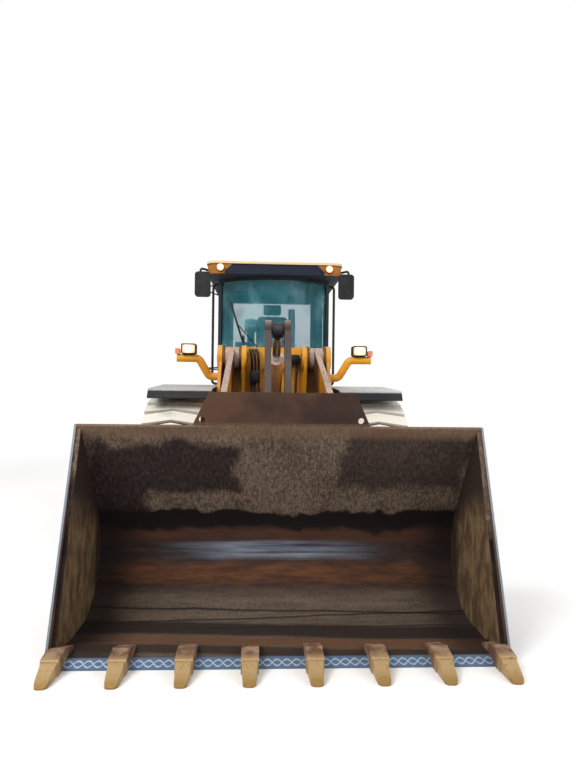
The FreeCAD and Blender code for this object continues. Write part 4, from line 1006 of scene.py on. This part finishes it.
class LOADER_OT_hydraulics(bpy.types.Operator):
    """Oil pipes along the lift and tilt cylinders, pin keeper plates, and the front valves with hoses"""
    bl_idname = "loader.hydraulics"
    bl_label = "Oil pipes, pin keepers, valves and hoses"

    def execute(self, context):
        lift_route = ((-1.36, 0.062), (-1.345, 0.098), (-1.0, 0.090), (-0.62, 0.090), (-0.60, 0.060))
        parts = self.piping(0.5, LIFT_AXIS, lift_route, 0.011, (-0.72, -1.22), 0.022, (0.055, 0.108))
        bond("lift_cylinder_pipes", "casting", "lift_cylinder_barrels", parts, mirror=True)
        tilt_route = ((-1.40, 0.085), (-1.39, 0.128), (-1.05, 0.118), (-0.72, 0.118), (-0.70, 0.080))
        parts = self.piping(0.0, TILT_AXIS, tilt_route, 0.012, (-0.82, -1.25), 0.024, (0.075, 0.136))
        bond("tilt_cylinder_pipe", "casting", "tilt_cylinder_barrel", parts)
        self.pin_keepers()
        self.valves_and_hoses()
        return {"FINISHED"}

    def piping(self, x, axis, route, radius, clamps, half, rises):
        """One pipe over a barrel along (y, lift) points, with a clamp at each place."""
        parts = [pipe([(x, y, above(axis, y, lift)) for y, lift in route], radius)]
        for y in clamps:
            low, high = [above(axis, y, rise) for rise in rises]
            parts.append(plate(
                (x - half, y - 0.018, low), (x + half, y + 0.018, high), "+z", 0.008, 0.003, z=0.006))
        return parts

    def pin_keepers(self):
        """Bolted keeper plates over the lift arm and lift cylinder pins."""
        outer = TOWER_OUT + 0.010
        parts = []
        for y, z in ((-0.44, 2.06), LIFT_AXIS[0]):
            parts.append(plate(
                (TOWER_OUT, y - 0.075, z - 0.028), (outer, y + 0.075, z + 0.028), "+x", 0.006, 0.003))
            for dy in (-0.05, 0.05):
                bolt((outer, y + dy, z), 0.014, 0.012)
                parts.append(leave())
        bond("pin_keepers", "pin", "front_frame", parts, mirror=True)

    def valves_and_hoses(self):
        """Two valve blocks on the front frame's wall between the towers, with their hoses."""
        parts = []
        for x0, x1, z0, z1 in ((-0.290, -0.165, 1.760, 1.900), (0.185, 0.310, 2.000, 2.100)):
            block((x0, -0.430, z0), (x1, WALL_FACE_Y, z1))
            rim_in("-y", 0.022, y=-0.016)
            rim_in("+z", 0.014, z=0.010)
            parts.append(leave(0.004))
        for x, reach in ((-0.265, 0.045), (-0.225, 0.030), (-0.185, 0.015)):
            parts.append(pipe([
                (x, -0.37, 1.90), (x, -0.375, 1.98), (x + 0.01, -0.50 - reach, 2.10),
                (x - 0.03, -0.37, 2.185), (x - 0.03, WALL_FACE_Y, 2.170),
            ], 0.015))
            parts.append(pipe([
                (x, -0.37, 1.77), (x, -0.38, 1.70), (x + 0.02, -0.45 - reach, 1.60),
                (x + 0.02, -0.45 - reach, 1.52), (x, -0.40, 1.425),
            ], 0.013))
        for x in (0.215, 0.280):
            parts.append(pipe([
                (x, -0.37, 2.01), (x, -0.38, 1.92), (x - 0.03, -0.48, 1.72),
                (x - 0.02, -0.42, 1.52), (x, -0.40, 1.425),
            ], 0.014))
        bond("front_valve_and_hoses", "black", "front_frame", parts)


class LOADER_OT_stage(bpy.types.Operator):
    """Add the floor, the studio light and the camera at the photograph's angle"""
    bl_idname = "loader.stage"
    bl_label = "Stage"

    def execute(self, context):
        self.lay_floor()
        self.light(context.scene)
        self.place_camera(context.scene)
        context.scene.view_settings.view_transform = "Standard"
        return {"FINISHED"}

    def lay_floor(self):
        """A pale floor that turns to plain white for the camera well away from the machine."""
        bpy.ops.object.select_all(action="DESELECT")
        bpy.ops.mesh.primitive_plane_add(size=400.0, location=(0, 0, 0))
        floor = bpy.context.object
        floor.name = "studio_floor"
        m = Shade("studio_floor")
        floor.data.materials.append(m.finish(m.mix("F0EEEA", "F7F5F2", m.noise(0.7, 2.0)), 0.9))
        away = ((m.x * m.x + m.y * m.y) ** 0.5).step(5.0, 9.0)
        factor = away * m.node("LightPath", out="Is Camera Ray")
        pale = Sock(m.tree, m.surface.outputs[0])
        white = m.node("Emission", sockets={"Color": WHITE, "Strength": 1.0})
        output = next(n for n in m.tree.nodes if n.type == "OUTPUT_MATERIAL")
        both = m.node("MixShader", sockets={0: factor, 1: pale, 2: white})
        put(m.tree, output.inputs["Surface"], both)

    def light(self, scene):
        """Soft light from all round, white to the camera, and three large lamps."""
        scene.world = bpy.data.worlds.new("studio")
        scene.world.use_nodes = True
        tree = scene.world.node_tree
        tree.nodes.clear()
        camera, glossy, through = [add_node(tree, "LightPath", out="Is %s Ray" % kind)
                                   for kind in ("Camera", "Glossy", "Transmission")]
        seen = camera.high(glossy * 0.6).high(through)
        soft = add_node(tree, "Background", sockets={0: colour("F2F5FA"), 1: 0.72})
        white = add_node(tree, "Background", sockets={0: WHITE, 1: 1.0})
        both = add_node(tree, "MixShader", sockets={0: seen, 1: soft, 2: white})
        add_node(tree, "OutputWorld", sockets={0: both})
        for name, energy, size, place, aim in (
            ("key", 800.0, 5.0, (-5.5, -7.5, 8.0), (0, -1.5, 0.8)),
            ("fill", 260.0, 7.0, (6.5, -6.0, 5.0), (0, -1.5, 0.8)),
            ("back", 420.0, 6.0, (2.0, 8.0, 7.0), (0, 1.5, 1.5)),
        ):
            data = bpy.data.lights.new(name, "AREA")
            data.energy = energy
            data.size = size
            lamp = bpy.data.objects.new(name, data)
            scene.collection.objects.link(lamp)
            lamp.location = place
            lamp.rotation_euler = (Vector(aim) - Vector(place)).to_track_quat("-Z", "Y").to_euler()

    def place_camera(self, scene):
        looks = scene.loader_looks
        data = bpy.data.cameras.new("photo_view")
        data.lens = looks.focal_length
        data.sensor_width = 36.0
        data.sensor_fit = "AUTO"
        camera = bpy.data.objects.new("photo_view", data)
        scene.collection.objects.link(camera)
        camera.location = (looks.camera_x, looks.camera_y, looks.camera_height)
        yaw, pitch, roll = [math.radians(angle) for angle in (-2.63, 0.2, 0.7)]
        level = Matrix.Rotation(yaw, 4, "Z") @ Matrix.Rotation(math.pi / 2 + pitch, 4, "X")
        camera.rotation_euler = (level @ Matrix.Rotation(roll, 4, "Z")).to_euler()
        scene.camera = camera


class LOADER_PT_panel(bpy.types.Panel):
    """Looks of the loader and the operators that add its pieces"""
    bl_label = "Loader"
    bl_idname = "LOADER_PT_panel"
    bl_space_type = "VIEW_3D"
    bl_region_type = "UI"
    bl_category = "Loader"

    def draw(self, context):
        for name in LoaderLooks.__annotations__:
            self.layout.prop(context.scene.loader_looks, name)
        for operator in OPERATORS:
            self.layout.operator(operator.bl_idname)


OPERATORS = (
    LOADER_OT_materials, LOADER_OT_wheel_nuts, LOADER_OT_windows, LOADER_OT_cab_inside, LOADER_OT_lamps,
    LOADER_OT_hood_trim, LOADER_OT_steps_and_flaps, LOADER_OT_hydraulics, LOADER_OT_stage,
)
CLASSES = (LoaderLooks,) + OPERATORS + (LOADER_PT_panel,)


def register():
    for cls in CLASSES:
        bpy.utils.register_class(cls)
    bpy.types.Scene.loader_looks = bpy.props.PointerProperty(type=LoaderLooks)


def unregister():
    del bpy.types.Scene.loader_looks
    for cls in reversed(CLASSES):
        bpy.utils.unregister_class(cls)


def main():
    register()
    for operator in OPERATORS:
        group, name = operator.bl_idname.split(".")
        if "FINISHED" not in getattr(getattr(bpy.ops, group), name)():
            raise RuntimeError(operator.bl_idname + " failed")


if __name__ == "__main__":
    main()
